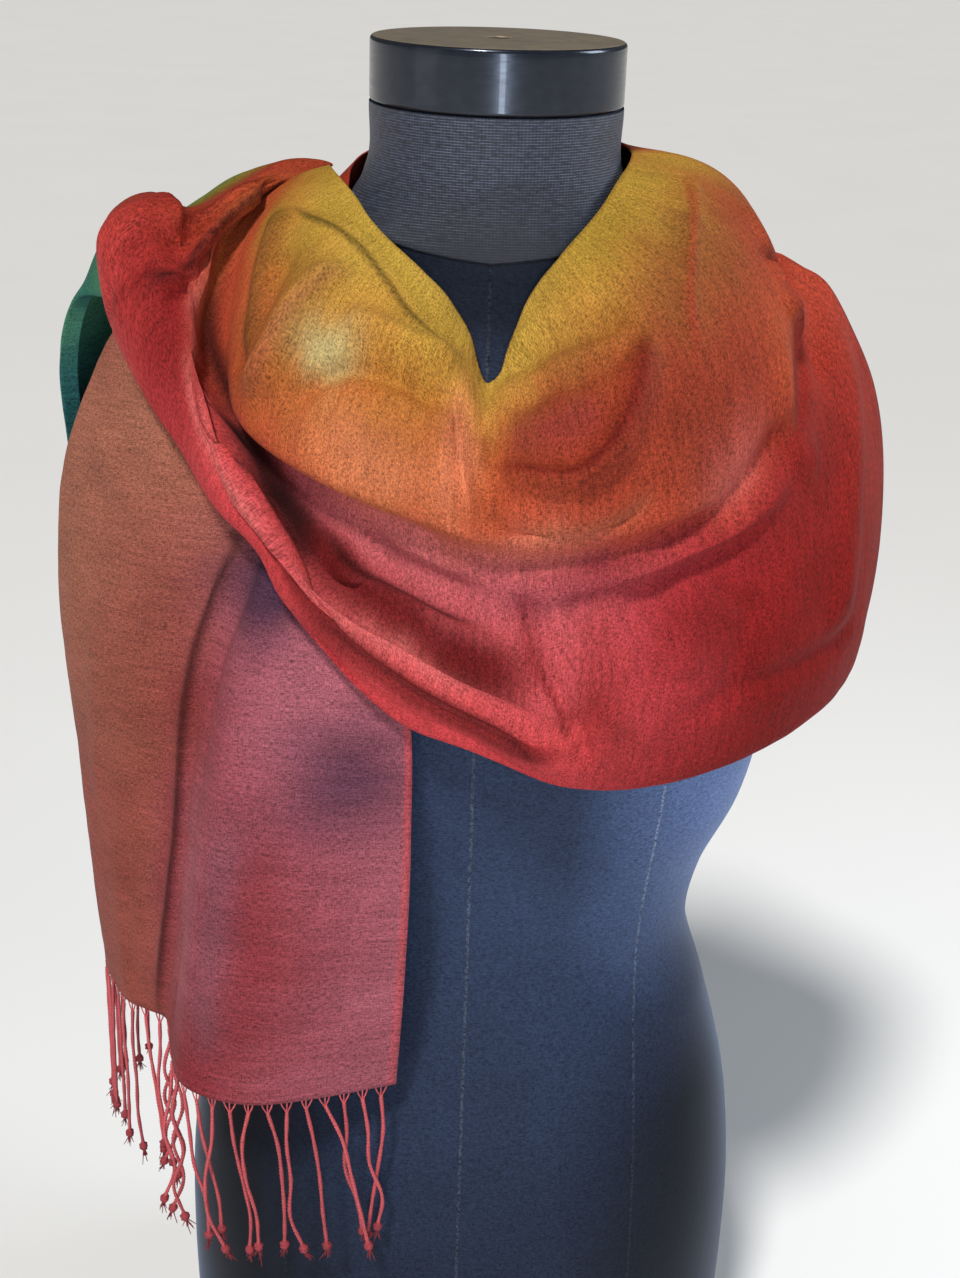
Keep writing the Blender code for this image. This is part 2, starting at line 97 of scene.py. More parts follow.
def keptClear(grid, tree, clearance, reach=0.03, beside=0.003, rounds=3):
    # moves every point of the grid out to this distance from a surface
    flat = grid.reshape(-1, 3).copy()
    for _ in range(rounds):
        for i, point in enumerate(flat):
            place, normal, _, distance = tree.find_nearest(point, reach)
            if place is None:
                continue
            offset = Vector(point) - place
            side = offset.dot(normal)
            if side < clearance and (offset - normal * side).length < beside:
                flat[i] += np.array(normal) * (clearance - side)
    return flat.reshape(grid.shape)


def softened(field, rounds):
    # a few rounds of smoothing of a displacement over the grid
    for _ in range(rounds):
        padded = np.pad(field, 1, mode="edge")
        field = (padded[:-2, 1:-1] + padded[2:, 1:-1] + padded[1:-1, :-2] + padded[1:-1, 2:] + 2 * field) / 6
    return field


# the dress form: a knitted cover over a smooth torso, with a neck band and a turned cap

form = {
    "height": 0.800,
    "capHeight": 0.030,
    "capRadius": 0.061,
    "capEdge": 0.0022,
    "holeRadius": 0.0066,
    "holeDepth": 0.005,
    "footShare": (0.975, 0.965),    # the underside is a little smaller than the ring above it
    "neckFrom": 0.704,          # the neck band's lower edge at the front
    "neckRise": (0.0135, 0.012),    # how much higher that edge is towards the back, and at the sides
    "neckProud": 0.0011,
    "seamInset": 0.0965,        # how far the two princess seams lie from the middle
    "seamWidth": 0.0011,
    "seamSpan": (0.006, 0.703),
    "seamWaver": 0.00025,
    "seamWaist": (0.06, 0.335, 0.09),   # how far the seams draw in at the waist, its height and its reach
    "seamTop": (0.35, 0.60, 0.10),      # the same towards the shoulder
    "sides": 168,
    "rings": 190,
}

# height, half width, front depth, back depth, squareness, all in millimetres but the last
formSections = (
    (0, 158.0, 110, 120, 2.3),
    (50, 160.5, 112, 122, 2.3),
    (110, 162.0, 114, 123, 2.3),
    (170, 160.5, 113, 119, 2.25),
    (230, 152.5, 108, 108, 2.2),
    (285, 137.5, 100, 93, 2.2),
    (335, 123.3, 94, 83, 2.2),
    (375, 129.5, 98, 82, 2.2),
    (417, 147.0, 108, 86, 2.2),
    (470, 156.0, 123, 93, 2.2),
    (520, 159.0, 129, 98, 2.2),
    (565, 162.0, 119, 102, 2.2),
    (605, 166.0, 101, 103, 2.2),
    (640, 170.0, 81, 99, 2.2),
    (668, 165.0, 68, 90, 2.2),
    (690, 146.0, 60, 81, 2.1),
    (704, 115.0, 57, 73, 2.05),
    (716, 86.0, 57, 66, 2.0),
    (728, 68.0, 57.5, 61.5, 2.0),
    (741, 61.5, 59.5, 60, 2.0),
    (770, 60.2, 60.0, 60.0, 2.0),
)


def formPoint(section, angle, out=0.0):
    halfWidth, front, back, square = section
    c, s = math.cos(angle), math.sin(angle)
    depth = back if s > 0 else front
    x = (halfWidth * mm + out) * math.copysign(abs(c) ** (2 / square), c)
    y = (depth * mm + out) * math.copysign(abs(s) ** (2 / square), s)
    return x, y


def formRing(height, sides, out=0.0):
    section = smoothRow(formSections, height / mm)
    return [(*formPoint(section, 2 * math.pi * i / sides, out), height) for i in range(sides)]


def addMesh(name, points, faces, material, body="root", smooth=True, sharp=None):
    mesh = bpy.data.meshes.new(name)
    mesh.from_pydata([tuple(p) for p in points], [], [tuple(f) for f in faces])
    mesh.update()
    if smooth:
        mesh.shade_smooth()
    if sharp:
        mesh.set_sharp_from_angle(angle=math.radians(sharp))
    piece = bpy.data.objects.new(name, mesh)
    bpy.context.scene.collection.objects.link(piece)
    piece.data.materials.append(material)
    if body:
        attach(piece, body)
    return piece


def loft(rings, closedEnds=(True, True)):
    sides = len(rings[0])
    points = [p for ring in rings for p in ring]
    faces = []
    for i in range(len(rings) - 1):
        for j in range(sides):
            k = (j + 1) % sides
            faces.append((i * sides + j, i * sides + k, (i + 1) * sides + k, (i + 1) * sides + j))
    last = (len(rings) - 1) * sides
    if closedEnds[0]:
        faces.append(tuple(range(sides - 1, -1, -1)))
    if closedEnds[1]:
        faces.append(tuple(last + j for j in range(sides)))
    return points, faces


def makeTorso(material):
    top = form["height"] - form["capHeight"]
    heights = np.linspace(4 * mm, top, form["rings"])
    wide, deep = form["footShare"]
    foot = [(x * wide, y * deep, 0.0) for x, y, _ in formRing(heights[0], form["sides"])]
    rings = [foot, *[formRing(h, form["sides"]) for h in heights]]
    torso = addMesh("form_cover", *loft(rings), material, sharp=50)
    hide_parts("form_torso")
    return torso


def makeNeckBand(material):
    # a thin sleeve over the neck, lower at the front, its bottom edge turned under
    sides, top = form["sides"], form["height"] - form["capHeight"]
    backRise, sideRise = form["neckRise"]
    rings = []
    profile = [(0.0, 0.1), (0.0, 0.75), (0.012, 1.0), (0.04, 0.9)] + [(s, 0.8) for s in np.linspace(0.08, 1, 40)]
    for share, proud in profile:
        ring = []
        for i in range(sides):
            angle = 2 * math.pi * i / sides
            low = form["neckFrom"] + backRise * (1 + math.sin(angle)) + sideRise * abs(math.cos(angle))
            height = low + (top - low) * share
            section = smoothRow(formSections, height / mm)
            ring.append((*formPoint(section, angle, form["neckProud"] * proud), height))
        rings.append(ring)
    points, faces = loft(rings, (False, False))
    band = addMesh("form_neck_band", points, faces, material)


def makeSeams(material):
    # raised seam lines: centre front, two princess seams, and the same three on the back
    heights = np.linspace(*form["seamSpan"], 240)
    waistDraw, waist, waistReach = form["seamWaist"]
    topDraw, topFrom, topReach = form["seamTop"]
    profile = ((-2.2, -0.0003), (-0.7, 0.00028), (0, 0.0001), (0.7, 0.00028), (2.2, -0.0003))
    points, faces = [], []
    for inset in (0.0, -form["seamInset"], form["seamInset"]):
        for front in (True, False):
            start = len(points)
            rows = [h for h in heights if front or h < 0.69]
            for n, height in enumerate(rows):
                halfWidth, frontDepth, backDepth, square = smoothRow(formSections, height / mm)
                narrow = 1 - waistDraw * math.exp(-((height - waist) / waistReach) ** 2)
                narrow *= 1 - topDraw * easing((height - topFrom) / topReach)
                depth = frontDepth if front else backDepth
                x = min(abs(inset) * narrow, 0.93 * halfWidth * mm)
                y = depth * mm * (1 - (x / (halfWidth * mm)) ** square) ** (1 / square)
                x, y = math.copysign(x, inset), -y if front else y
                normal = Vector((x / halfWidth**2, y / depth**2, 0)).normalized()
                side = Vector((-normal.y, normal.x, 0))
                width, wave = form["seamWidth"] / 2, form["seamWaver"] * math.sin(height * 900 + inset * 40)
                for aside, proud in profile:
                    points.append(Vector((x, y, height)) + side * (aside * width + wave) + normal * proud)
                for k in range(4 if n else 0):
                    a = start + (n - 1) * 5 + k
                    faces.append((a, a + 1, a + 6, a + 5))
    seams = addMesh("form_seams", points, faces, material)


def makeCap(side, top, hole):
    low = form["height"] - form["capHeight"] + 0.0003
    high, r, e = form["height"], form["capRadius"], form["capEdge"]
    corner = [(math.sin(math.radians(a)), math.cos(math.radians(a))) for a in range(0, 91, 15)]
    profile = [(0.004, low), (r - e, low)]
    profile += [(r - e + e * s, low + e - e * c) for s, c in corner]
    profile += [(r, low + (high - low) * s) for s in (0.25, 0.5, 0.75)]
    profile += [(r - e + e * c, high - e + e * s) for s, c in corner]
    profile += [(r * s, high) for s in (0.93, 0.85, 0.7, 0.5, 0.3)]
    profile += [(form["holeRadius"] + 0.0006, high), (form["holeRadius"], high - 0.0006)]
    profile += [(form["holeRadius"], high - form["holeDepth"]), (0.0006, high - form["holeDepth"])]
    turns = [2 * math.pi * i / 128 for i in range(128)]
    rings = [[(radius * math.cos(a), radius * math.sin(a), height) for a in turns] for radius, height in profile]
    cap = addMesh("neck_cap", *loft(rings), side, sharp=35)
    # the top's material carries a painted reflection
    cap.data.materials.append(top)
    cap.data.materials.append(hole)
    for face in cap.data.polygons:
        x, y, z = face.center
        if z > high - 0.0004:
            face.material_index = 1
        elif math.hypot(x, y) < form["holeRadius"] * 1.02 and z > low + 0.001:
            face.material_index = 2
    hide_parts("form_neck_cap")


# the shawl: one length of cloth in four stretches, each a grid of sections across it

shawl = {
    "thickness": 0.0008,
    "formClearance": 0.0019,
    "layerClearance": 0.0026,
    "foldClearance": 0.0016,    # what is left of it once the creases are in
    "shoulderSlope": 0.030,
    "hemReturn": (-9.5, 8.5),
    "rollShares": (0.2, 0.4, 0.6, 0.8),
    "lines": 16,
    "ripple": (0.030, 0.0005),      # size and rise of a faint unevenness all over
    "seamRows": 6,                  # rows over which creases fade towards a seam or hem
}

# each stretch's piece and slot, where it lies along the cloth, in metres from the front hem, and its flat size
stretches = {
    "front_tail": {"piece": "tail_cloth", "slot": "shawl_maroon", "span": (0.0, 0.49), "flat": (0.31, 0.49)},
    "neck_wrap": {"piece": "nape_cloth", "slot": "shawl_rust", "span": (0.49, 0.87), "flat": (0.30, 0.38)},
    "front_cowl": {"piece": "cowl_cloth", "slot": "shawl_red", "span": (0.87, 1.34), "flat": (0.33, 0.47)},
    "back_tail": {"piece": "back_cloth", "slot": "shawl_green", "span": (1.34, 1.84), "flat": (0.29, 0.50)},
}

# turn, neckline radius and height, bulge, nose radius and height
upperRoll = (
    (0, 66, 747, 16, 136, 701),
    (15, 66, 744, 24, 152, 665),
    (30, 66.5, 738, 29, 163, 636),
    (45, 68, 726, 28, 165, 618),
    (62, 67.5, 708, 22, 161, 609),
    (76, 69, 687, 17, 157, 604),
    (84, 78, 668, 14, 152, 602),
    (90, 88, 656, 13, 148, 602),
    (96, 75, 674, 14, 144, 605),
    (104, 69, 687, 14, 142, 610),
    (117, 69.5, 702, 14, 142, 618),
    (132, 73, 716, 16, 145, 629),
    (140, 74, 723, 17, 146, 637),
    (150, 74, 731, 15, 140, 653),
    (165, 79, 741, 5, 125, 709),
    (172, 80, 742, 3, 116, 724),
    (180, 82, 738, 0, 108, 729),
)

# turn, then radius and height of pocket, floor and valley
underRoll = (
    (0, 145, 697, 154, 692, 167, 684),
    (30, 168, 626, 171, 615, 174, 604),
    (45, 163, 605, 161, 595, 164, 584),
    (60, 152, 596, 150, 585, 153, 573),
    (75, 143, 591, 142, 578, 143, 564),
    (90, 135, 590, 134, 574, 136, 558),
    (105, 127, 600, 127, 585, 129, 568),
    (120, 122, 607, 121, 597, 123, 583),
    (132, 127, 619, 124, 611, 126, 602),
    (140, 135, 631, 131, 625, 133, 617),
    (150, 138, 645, 143, 639, 149, 645),
    (157, 139, 668, 146, 665, 149, 674),
    (165, 134, 704, 133, 713, 126, 722),
    (172, 121, 719, 115, 726, 105, 733),
    (180, 113, 730, 104, 733.5, 92, 736),
)

# turn, then radius and height of rise, crest, groove, outer, lip and edge
lowerBand = (
    (0, 181, 663, 196, 633, 205, 597, 209, 551, 207, 511, 202, 483),
    (30, 178, 588, 183, 565, 186, 542, 187, 520, 186, 500, 182, 482),
    (45, 167, 572, 174, 556, 178, 538, 179, 518, 177, 498, 172, 478),
    (60, 159, 561, 167, 548, 171, 532, 172, 515, 170, 497, 165, 477),
    (68, 156, 556, 164, 540, 167, 525, 168, 510, 167, 496, 162, 479),
    (76, 151, 550, 161, 524, 158, 506, 160, 498, 160, 490, 156, 482),
    (90, 147, 547, 158, 532, 150, 518, 153, 511, 154, 505, 151, 498),
    (105, 139, 560, 154, 550, 146, 537, 150, 529, 152, 521, 150, 513),
    (120, 130, 570, 152, 567, 146, 561, 150, 556, 153, 551, 153, 546),
    (132, 126, 590, 152.5, 600, 152, 602, 156, 598, 158, 593, 157, 587),
    (140, 134, 609, 155, 622, 157, 625, 161, 617, 163, 609, 161, 600),
    (150, 150, 651, 154, 661, 158, 665, 162, 655, 166, 642, 167, 625),
    (157, 149, 683, 150, 692, 154, 690, 166, 688, 176, 674, 176, 645),
    (165, 117, 731, 127, 733, 150, 719, 170, 727, 189, 710, 185, 668),
    (172, 98, 737, 116, 736, 147, 720, 169, 727, 190, 711, 186, 669),
    (180, 79, 741, 104, 742, 146, 720, 169, 727, 191, 711, 187, 671),
)

# turn, then radius and height of collar, nape, blade, low and edge
neckWrap = (
    (-180, 70, 738, 96, 719, 130, 704, 160, 688, 181, 659),
    (-135, 71, 746, 88, 712, 110, 680, 130, 634, 134, 586),
    (-90, 68, 752, 88, 719, 109, 657, 119, 594, 113, 524),
    (-45, 67, 750, 95, 722, 125, 656, 149, 582, 149, 504),
)

# height, how much higher the back edge is, then x and y of selvedge, belly, curl, valley, side, outline, back
frontTail = (
    (285, 0, -35, -115, -105, -134, -149, -115, -165, -60, -190, -42, -213, 8, -196, 54),
    (360, 0, -31, -125, -95, -134, -140, -117, -155, -72, -189, -50, -217, 2, -198, 50),
    (440, 0, -29, -131, -85, -132, -130, -116, -145, -78, -183, -60, -220, -5, -200, 45),
    (520, 0, -32, -134, -78, -128, -114, -118, -134, -84, -179, -68, -222, -12, -203, 40),
    (590, 0, -55, -106, -80, -102, -98, -96, -113, -86, -158, -68, -214, -16, -202, 28),
    (645, -6, -67, -80, -84, -77, -101, -73, -117, -67, -152, -52, -194, -16, -195, 10),
    (690, -34, -70, -56, -86, -54, -103, -50, -119, -45, -146, -34, -178, -18, -184, -6),
)
tailStops = (0, 2, 4, 6, 8, 11, 15)   # the lines across that the seven named ones are

# y and height of its middle, tilt, inner and outer x, pleat depth, share unfolded
backTail = (
    (42, 709, 30, -66, -203, 3, 0.50),
    (84, 676, 60, -56, -219, 6, 0.85),
    (113, 622, 80, -44, -228, 7, 1.0),
    (127, 555, 90, -30, -226, 8, 1.0),
    (133, 470, 90, -14, -221, 9, 1.0),
    (135, 380, 90, 2, -214, 9, 1.0),
    (135, 300, 90, 16, -208, 9, 1.0),
)
backFolds = {"pleats": 3.5, "hemReturn": (9, -5), "curve": 0.255, "shoulderLine": 0.722}


def bulged(start, end, shares, heights):
    start, end = np.array(start, float), np.array(end, float)
    along = (end - start) / np.linalg.norm(end - start)
    outward = np.array([-along[1], along[0]])
    return [start + (end - start) * s + outward * h for s, h in zip(shares, heights)]


def roundTheForm(turn, section):
    angle = math.radians(turn)
    section = np.array(section, float) * mm
    x = section[:, 0] * math.cos(angle)
    return np.stack([x, -section[:, 0] * math.sin(angle), section[:, 1] + shawl["shoulderSlope"] * x], axis=1)


def cowlProfile(turn):
    neckR, neckZ, bulge, noseR, noseZ = smoothRow(upperRoll, turn)
    under = smoothRow(underRoll, turn).reshape(-1, 2)
    band = smoothRow(lowerBand, turn).reshape(-1, 2)
    shares = shawl["rollShares"]
    roll = bulged((neckR, neckZ), (noseR, noseZ), shares, [4 * bulge * s * (1 - s) for s in shares])
    return np.array([(neckR, neckZ), *roll, (noseR, noseZ), *under, *band, band[-1] + shawl["hemReturn"]])


def cowlSection(turn):
    return roundTheForm(turn, cowlProfile(turn))


def evenlyResampled(points, count):
    fine = curveThrough(points, 8)
    length = np.concatenate([[0], np.cumsum(np.linalg.norm(np.diff(fine, axis=0), axis=1))])
    at = np.linspace(0, length[-1], count)
    return np.stack([np.interp(at, length, fine[:, i]) for i in range(fine.shape[1])], axis=1)


def neckWrapSection(turn):
    lastTurn = neckWrap[-1][0]
    section = evenlyResampled(smoothRow(neckWrap, min(turn, lastTurn)).reshape(-1, 2), shawl["lines"])
    if turn > lastTurn:
        share = easing(1 - turn / lastTurn)
        section = section * (1 - share) + cowlProfile(0) * share
    return roundTheForm(turn, section)


def frontTailSection(row):
    height, backRise = row[:2]
    plan = curveThrough(np.array(row[2:], float).reshape(-1, 2), 8)
    at = np.interp(range(shawl["lines"]), tailStops, np.arange(len(tailStops)) * 8)
    plan = np.stack([np.interp(at, np.arange(len(plan)), plan[:, i]) for i in range(2)], axis=1) * mm
    rise = backRise * np.linspace(0, 1, shawl["lines"]) ** 2
    return np.column_stack([plan, (height + rise) * mm + shawl["shoulderSlope"] * plan[:, 0]])


def backTailSection(row, steps=2):
    y, z, tilt, inner, outer, depth, unfolded = row
    folded = curveThrough(cowlSection(180), steps)
    columns = len(folded)
    share = np.clip(np.arange(columns) / (columns - 1 - steps), 0, 1)
    turned = np.clip(np.arange(columns) - (columns - 1 - steps), 0, steps) / steps
    foldedX = folded[:, 0] + (outer * mm - folded[:, 0].min()) * share
    openX = (inner + (outer - inner) * share + backFolds["hemReturn"][0] * turned) * mm
    x = foldedX * (1 - unfolded) + openX * unfolded
    rise = (folded[:, 2] - backFolds["shoulderLine"]) * (1 - unfolded**2)
    pleat = depth * np.cos(2 * math.pi * backFolds["pleats"] * share)
    pleat = (pleat + backFolds["hemReturn"][1] * turned) * mm * unfolded
    wrap = np.sqrt(1 - np.clip(np.abs(x) / backFolds["curve"], 0, 0.95) ** 2)
    outward, upward = math.sin(math.radians(tilt)), math.cos(math.radians(tilt))
    return np.stack([x, y * mm * wrap + pleat * outward, z * mm + rise + pleat * upward], axis=1)


def clothPlaces(grid, span):
    # each point's place on the flat cloth: metres along it, and lines across it from 0 to 15
    rows, columns = grid.shape[:2]
    step = np.linalg.norm(np.diff(grid, axis=0), axis=2).mean(axis=1)
    along = np.concatenate([[0], np.cumsum(step)])
    along = span[0] + (span[1] - span[0]) * along / along[-1]
    lines = np.linspace(0, shawl["lines"] - 1, columns)
    return np.repeat(along[:, None], columns, axis=1), np.repeat(lines[None, :], rows, axis=0)


# creases and lines of dye: a path is millimetres along and line across, over and over

pathReach = {
    "line": 0.02,           # metres from one line of the cloth to the next
    "step": 0.0012,
    "beside": 0.035,        # nothing farther along the cloth than this is touched
    "across": 2.2,          # lines, past which a path doesn't reach over to a neighbouring fold
    "endFade": 0.22,        # share of the path over which it fades out at either end
}


def besidePath(grid, along, lines, path):
    # each point's squared distance from a path on the cloth, and how far the path has faded there
    rows = along[:, 0]
    path = curveThrough(np.reshape(path, (-1, 2)) * (mm, 1), 10)
    way = np.hypot(np.diff(path[:, 0]), pathReach["line"] * np.diff(path[:, 1]))
    way = np.concatenate([[0], np.cumsum(way)])
    even = np.linspace(0, way[-1], int(way[-1] / pathReach["step"]) + 2)
    path = np.stack([np.interp(even, way, path[:, k]) for k in range(2)], axis=1)
    at = np.interp(path[:, 0], rows, np.arange(len(rows)))
    column = path[:, 1] / (shawl["lines"] - 1) * (grid.shape[1] - 1)
    i, j = np.clip(at.astype(int), 0, grid.shape[0] - 2), np.clip(column.astype(int), 0, grid.shape[1] - 2)
    s, t = (at - i)[:, None], (column - j)[:, None]
    spine = grid[i, j] * (1 - s) * (1 - t) + grid[i + 1, j] * s * (1 - t)
    spine += grid[i, j + 1] * (1 - s) * t + grid[i + 1, j + 1] * s * t
    near, share = np.full(along.shape, 1e9), np.zeros(along.shape)
    window = int(pathReach["beside"] / (rows[1] - rows[0])) + 1
    for k, (place, line) in enumerate(zip(spine, path[:, 1])):
        beside = slice(max(0, i[k] - window), i[k] + window)
        gap = ((grid[beside] - place) ** 2).sum(axis=2)
        gap += (pathReach["line"] * np.maximum(0, np.abs(lines[beside] - line) - pathReach["across"])) ** 2
        closer = gap < near[beside]
        near[beside][closer] = gap[closer]
        share[beside][closer] = k / (len(spine) - 1)
    return near.ravel(), easing(np.minimum(share, 1 - share) / pathReach["endFade"]).ravel()


def creased(grid, along, lines, creases):
    # raises soft ridges and troughs along their paths
    rise = np.zeros(along.size)
    for width, height, *path in creases:
        near, fade = besidePath(grid, along, lines, path)
        rise += height * mm * np.exp(-near / (width * mm) ** 2) * fade
    return rise.reshape(along.shape)


def rippled(grid, seed, size, rise):
    # a faint unevenness all over, as thin cloth has
    offset = Vector((seed * 7.3, seed * 3.1, seed * 1.7))
    flat = [noise.noise(Vector(p) / size + offset) + 0.5 * noise.noise(Vector(p) / (0.4 * size) + offset)
            for p in grid.reshape(-1, 3)]
    return rise * np.array(flat).reshape(grid.shape[:2])


# the dye: named baths, laid across the cloth at some places along it, with soft patches over them; some baths and
# patches are painted shade in folds or painted highlight on crests

baths = {
    "gold": (0.500, 0.320, 0.050),
    "olive": (0.370, 0.235, 0.030),
    "lichen": (0.430, 0.370, 0.160),
    "amber": (0.425, 0.150, 0.028),
    "orange": (0.450, 0.100, 0.028),
    "rust": (0.370, 0.052, 0.022),
    "sienna": (0.205, 0.066, 0.019),
    "auburn": (0.210, 0.030, 0.014),
    "salmon": (0.600, 0.200, 0.100),
    "brick": (0.310, 0.032, 0.017),
    "claret": (0.190, 0.008, 0.007),
    "red": (0.560, 0.062, 0.064),
    "crimson": (0.360, 0.030, 0.036),
    # the next two are painted shade, laid in the deep folds and hollows
    "garnet": (0.105, 0.005, 0.005),
    "umber": (0.020, 0.003, 0.003),
    "wine": (0.200, 0.022, 0.028),
    "rose": (0.400, 0.085, 0.100),
    # painted highlight, laid on lit crests and on the lit tongue under the roll
    "blush": (0.640, 0.165, 0.150),
    "mauve": (0.330, 0.092, 0.118),
    "slate": (0.150, 0.075, 0.100),
    "moss": (0.060, 0.034, 0.006),
    "plum": (0.060, 0.024, 0.048),
    "brown": (0.250, 0.060, 0.044),
    "tan": (0.300, 0.110, 0.068),
    "litLeaf": (0.060, 0.200, 0.120),
    "fern": (0.090, 0.240, 0.030),
    "teal": (0.030, 0.150, 0.105),
    "petrol": (0.020, 0.095, 0.105),
}

# millimetres from the front hem, then the bath at each of these lines across the cloth
bathLines = (0, 3, 5, 7, 11, 15)
dyePlan = (
    (0, "mauve", "wine", "wine", "brown", "brown", "brown"),
    (70, "mauve", "wine", "mauve", "brown", "brown", "brown"),
    (140, "mauve", "wine", "mauve", "brown", "brown", "tan"),
    (220, "mauve", "mauve", "wine", "brown", "tan", "tan"),
    (300, "mauve", "mauve", "mauve", "brown", "tan", "tan"),
    (380, "wine", "wine", "brown", "tan", "tan", "brown"),
    (490, "brick", "rust", "rust", "brown", "brown", "brown"),
    (620, "brick", "rust", "rust", "brick", "brick", "wine"),
    (760, "rust", "rust", "rust", "brick", "brick", "wine"),
    (870, "rust", "brick", "brick", "brick", "claret", "claret"),
    (950, "rust", "rust", "brick", "brick", "claret", "claret"),
    (985, "olive", "rust", "rust", "crimson", "claret", "claret"),
    (1020, "olive", "rust", "rust", "crimson", "crimson", "claret"),
    (1060, "gold", "brick", "rust", "rose", "red", "crimson"),
    (1100, "gold", "orange", "rust", "rose", "red", "crimson"),
    (1150, "gold", "amber", "orange", "rose", "red", "crimson"),
    (1200, "gold", "amber", "rust", "rose", "red", "crimson"),
    (1250, "gold", "orange", "rust", "brick", "red", "crimson"),
    (1300, "olive", "rust", "rust", "rust", "brick", "red"),
    (1340, "olive", "rust", "rust", "rust", "brick", "crimson"),
    (1370, "rust", "rust", "brick", "brick", "fern", "teal"),
    (1430, "olive", "fern", "fern", "teal", "teal", "petrol"),
    (1580, "fern", "teal", "teal", "petrol", "teal", "petrol"),
    (1840, "teal", "petrol", "teal", "teal", "petrol", "petrol"),
)

# millimetres along, line across, reach along in millimetres, reach across in lines, bath, strength
dyePatches = (
    (1183, 2.7, 15, 0.65, "lichen", 0.80),
    (1245, 1.2, 22, 1.2, "olive", 0.60),
    (1285, 2.4, 18, 1.0, "olive", 0.60),
    (1228, 3.4, 16, 1.0, "sienna", 0.45),
    (880, 1.0, 32, 1.7, "olive", 0.75),
    (906, 2.7, 24, 1.1, "sienna", 0.65),
    (880, 6.4, 30, 2.4, "rust", 0.65),
    (915, 5.5, 35, 2.2, "rust", 0.60),
    (905, 9.5, 40, 3.0, "brick", 0.50),
    (1135, 1.4, 22, 0.9, "olive", 0.55),
    (965, 1.7, 40, 1.2, "sienna", 0.85),
    (1006, 2.3, 18, 0.9, "sienna", 0.60),
    # auburn in the hollow right of the neckline: partly dye, partly painted shade
    (1008, 3.8, 24, 1.2, "auburn", 0.80),
    (1045, 4.5, 30, 0.7, "auburn", 0.35),
    # claret over the far side: partly dye, partly painted shade where that side turns from the light
    (940, 5.0, 45, 2.5, "claret", 0.75),
    (945, 9.0, 45, 2.5, "claret", 0.60),
    (945, 0.1, 60, 1.1, "olive", 0.90),
    # salmon on the ridge below the neckline's V: painted highlight
    (1112, 3.3, 9, 1.4, "salmon", 0.80),
    (1150, 4.2, 32, 0.8, "salmon", 0.50),
    # more auburn in that hollow: partly dye, partly painted shade
    (1022, 3.4, 14, 1.0, "auburn", 0.50),
    (985, 3.4, 20, 1.2, "auburn", 0.50),
    # painted shade under the roll on the right
    (1052, 7.0, 30, 0.9, "wine", 0.55),
    # painted highlight on the lit tongue under the roll
    (1150, 6.5, 40, 0.9, "blush", 0.55),
    # painted shade in the deep fold between the tongue and the tube
    (1227, 8.1, 18, 1.1, "umber", 1.0),
    (1207, 8.7, 18, 1.1, "umber", 1.0),
    (1189, 8.9, 16, 1.0, "umber", 0.97),
    (1168, 8.7, 20, 0.9, "garnet", 0.95),
    (1140, 9.1, 22, 0.8, "garnet", 0.92),
    (1104, 9.4, 28, 0.8, "garnet", 0.97),
    # painted highlight on the tube's crest
    (1140, 10.2, 34, 0.5, "blush", 0.50),
    # painted shade in the groove under the tube
    (1170, 12.0, 22, 0.9, "garnet", 0.60),
    (1130, 11.6, 30, 0.8, "garnet", 0.70),
    (1092, 11.8, 26, 0.8, "garnet", 0.70),
    # claret low on the far side and by the pleat: partly dye, partly painted shade
    (1050, 10.5, 10, 2.2, "claret", 0.55),
    (1004, 9.6, 28, 1.6, "claret", 0.65),
    (940, 11.0, 50, 3.0, "claret", 0.60),
    (1262, 11.5, 30, 2.2, "claret", 0.65),
    (1290, 12.4, 16, 1.6, "claret", 0.55),
    (1306, 9.0, 18, 1.3, "orange", 0.70),
    (1316, 4.7, 16, 1.8, "orange", 0.90),
    (1223, 1.8, 20, 1.0, "moss", 0.25),
    (950, 3.8, 20, 1.0, "orange", 0.45),
    (1085, 5.6, 30, 0.8, "salmon", 0.30),
    # painted highlight on the ridge at the right, under the roll's end
    (994, 5.0, 18, 0.8, "blush", 0.35),
    # claret in and beside the trough below the right ridge: painted shade
    (985, 7.1, 28, 0.9, "claret", 0.50),
    (955, 6.6, 18, 1.2, "claret", 0.45),
    # auburn in the same hollow: partly dye, partly painted shade
    (1066, 2.9, 26, 1.1, "auburn", 0.60),
    (1262, 12.0, 18, 1.8, "claret", 0.45),
    (205, 1.1, 36, 1.4, "plum", 0.80),
    (309, 4.2, 30, 1.8, "plum", 0.98),
    (303, 3.2, 22, 1.2, "plum", 0.95),
    (110, 6.2, 90, 0.6, "wine", 0.60),
    (300, 10.5, 40, 3.0, "tan", 0.35),
    # lighter greens on the back tail's inner face near the shoulder: painted light where that face lies in shade
    (1462, 13.4, 30, 3.2, "litLeaf", 0.85),
    (1440, 12.0, 20, 1.6, "fern", 0.80),
    (1660, 5.0, 60, 2.2, "fern", 0.45),
    (1560, 9.0, 50, 2.0, "petrol", 0.50),
)

dyeing = {
    "plan": (400, 61),              # rows and columns of the blurred plan
    "blur": 10,
    "deep": ("umber", "garnet"),    # these two are painted shade in folds and hollows, and keep a firmer edge
    "firm": (1.8, 0.12),            # fall-off of a patch, and how ragged its edge is
    "soft": (1.2, 0.6),
    "streak": (150, 0.45, 1.5),     # the ragged edge's noises: scale along, scale across, start
    "drift": (28, 0.50, 7.5),
    "shift": 0.006,                 # metres along, and lines across, that these noises move the dye
    "ragged": (0.3, 0.45),
}


def laidOver(colour, bath, share):
    return colour * (1 - share) + np.array(baths[bath]) * share


def wandering(along, lines, kind):
    scaleAlong, scaleAcross, start = dyeing[kind]
    places = zip(along.ravel(), lines.ravel())
    values = [noise.noise(Vector((a * scaleAlong, b * scaleAcross, start))) for a, b in places]
    return np.array(values).reshape(along.shape)


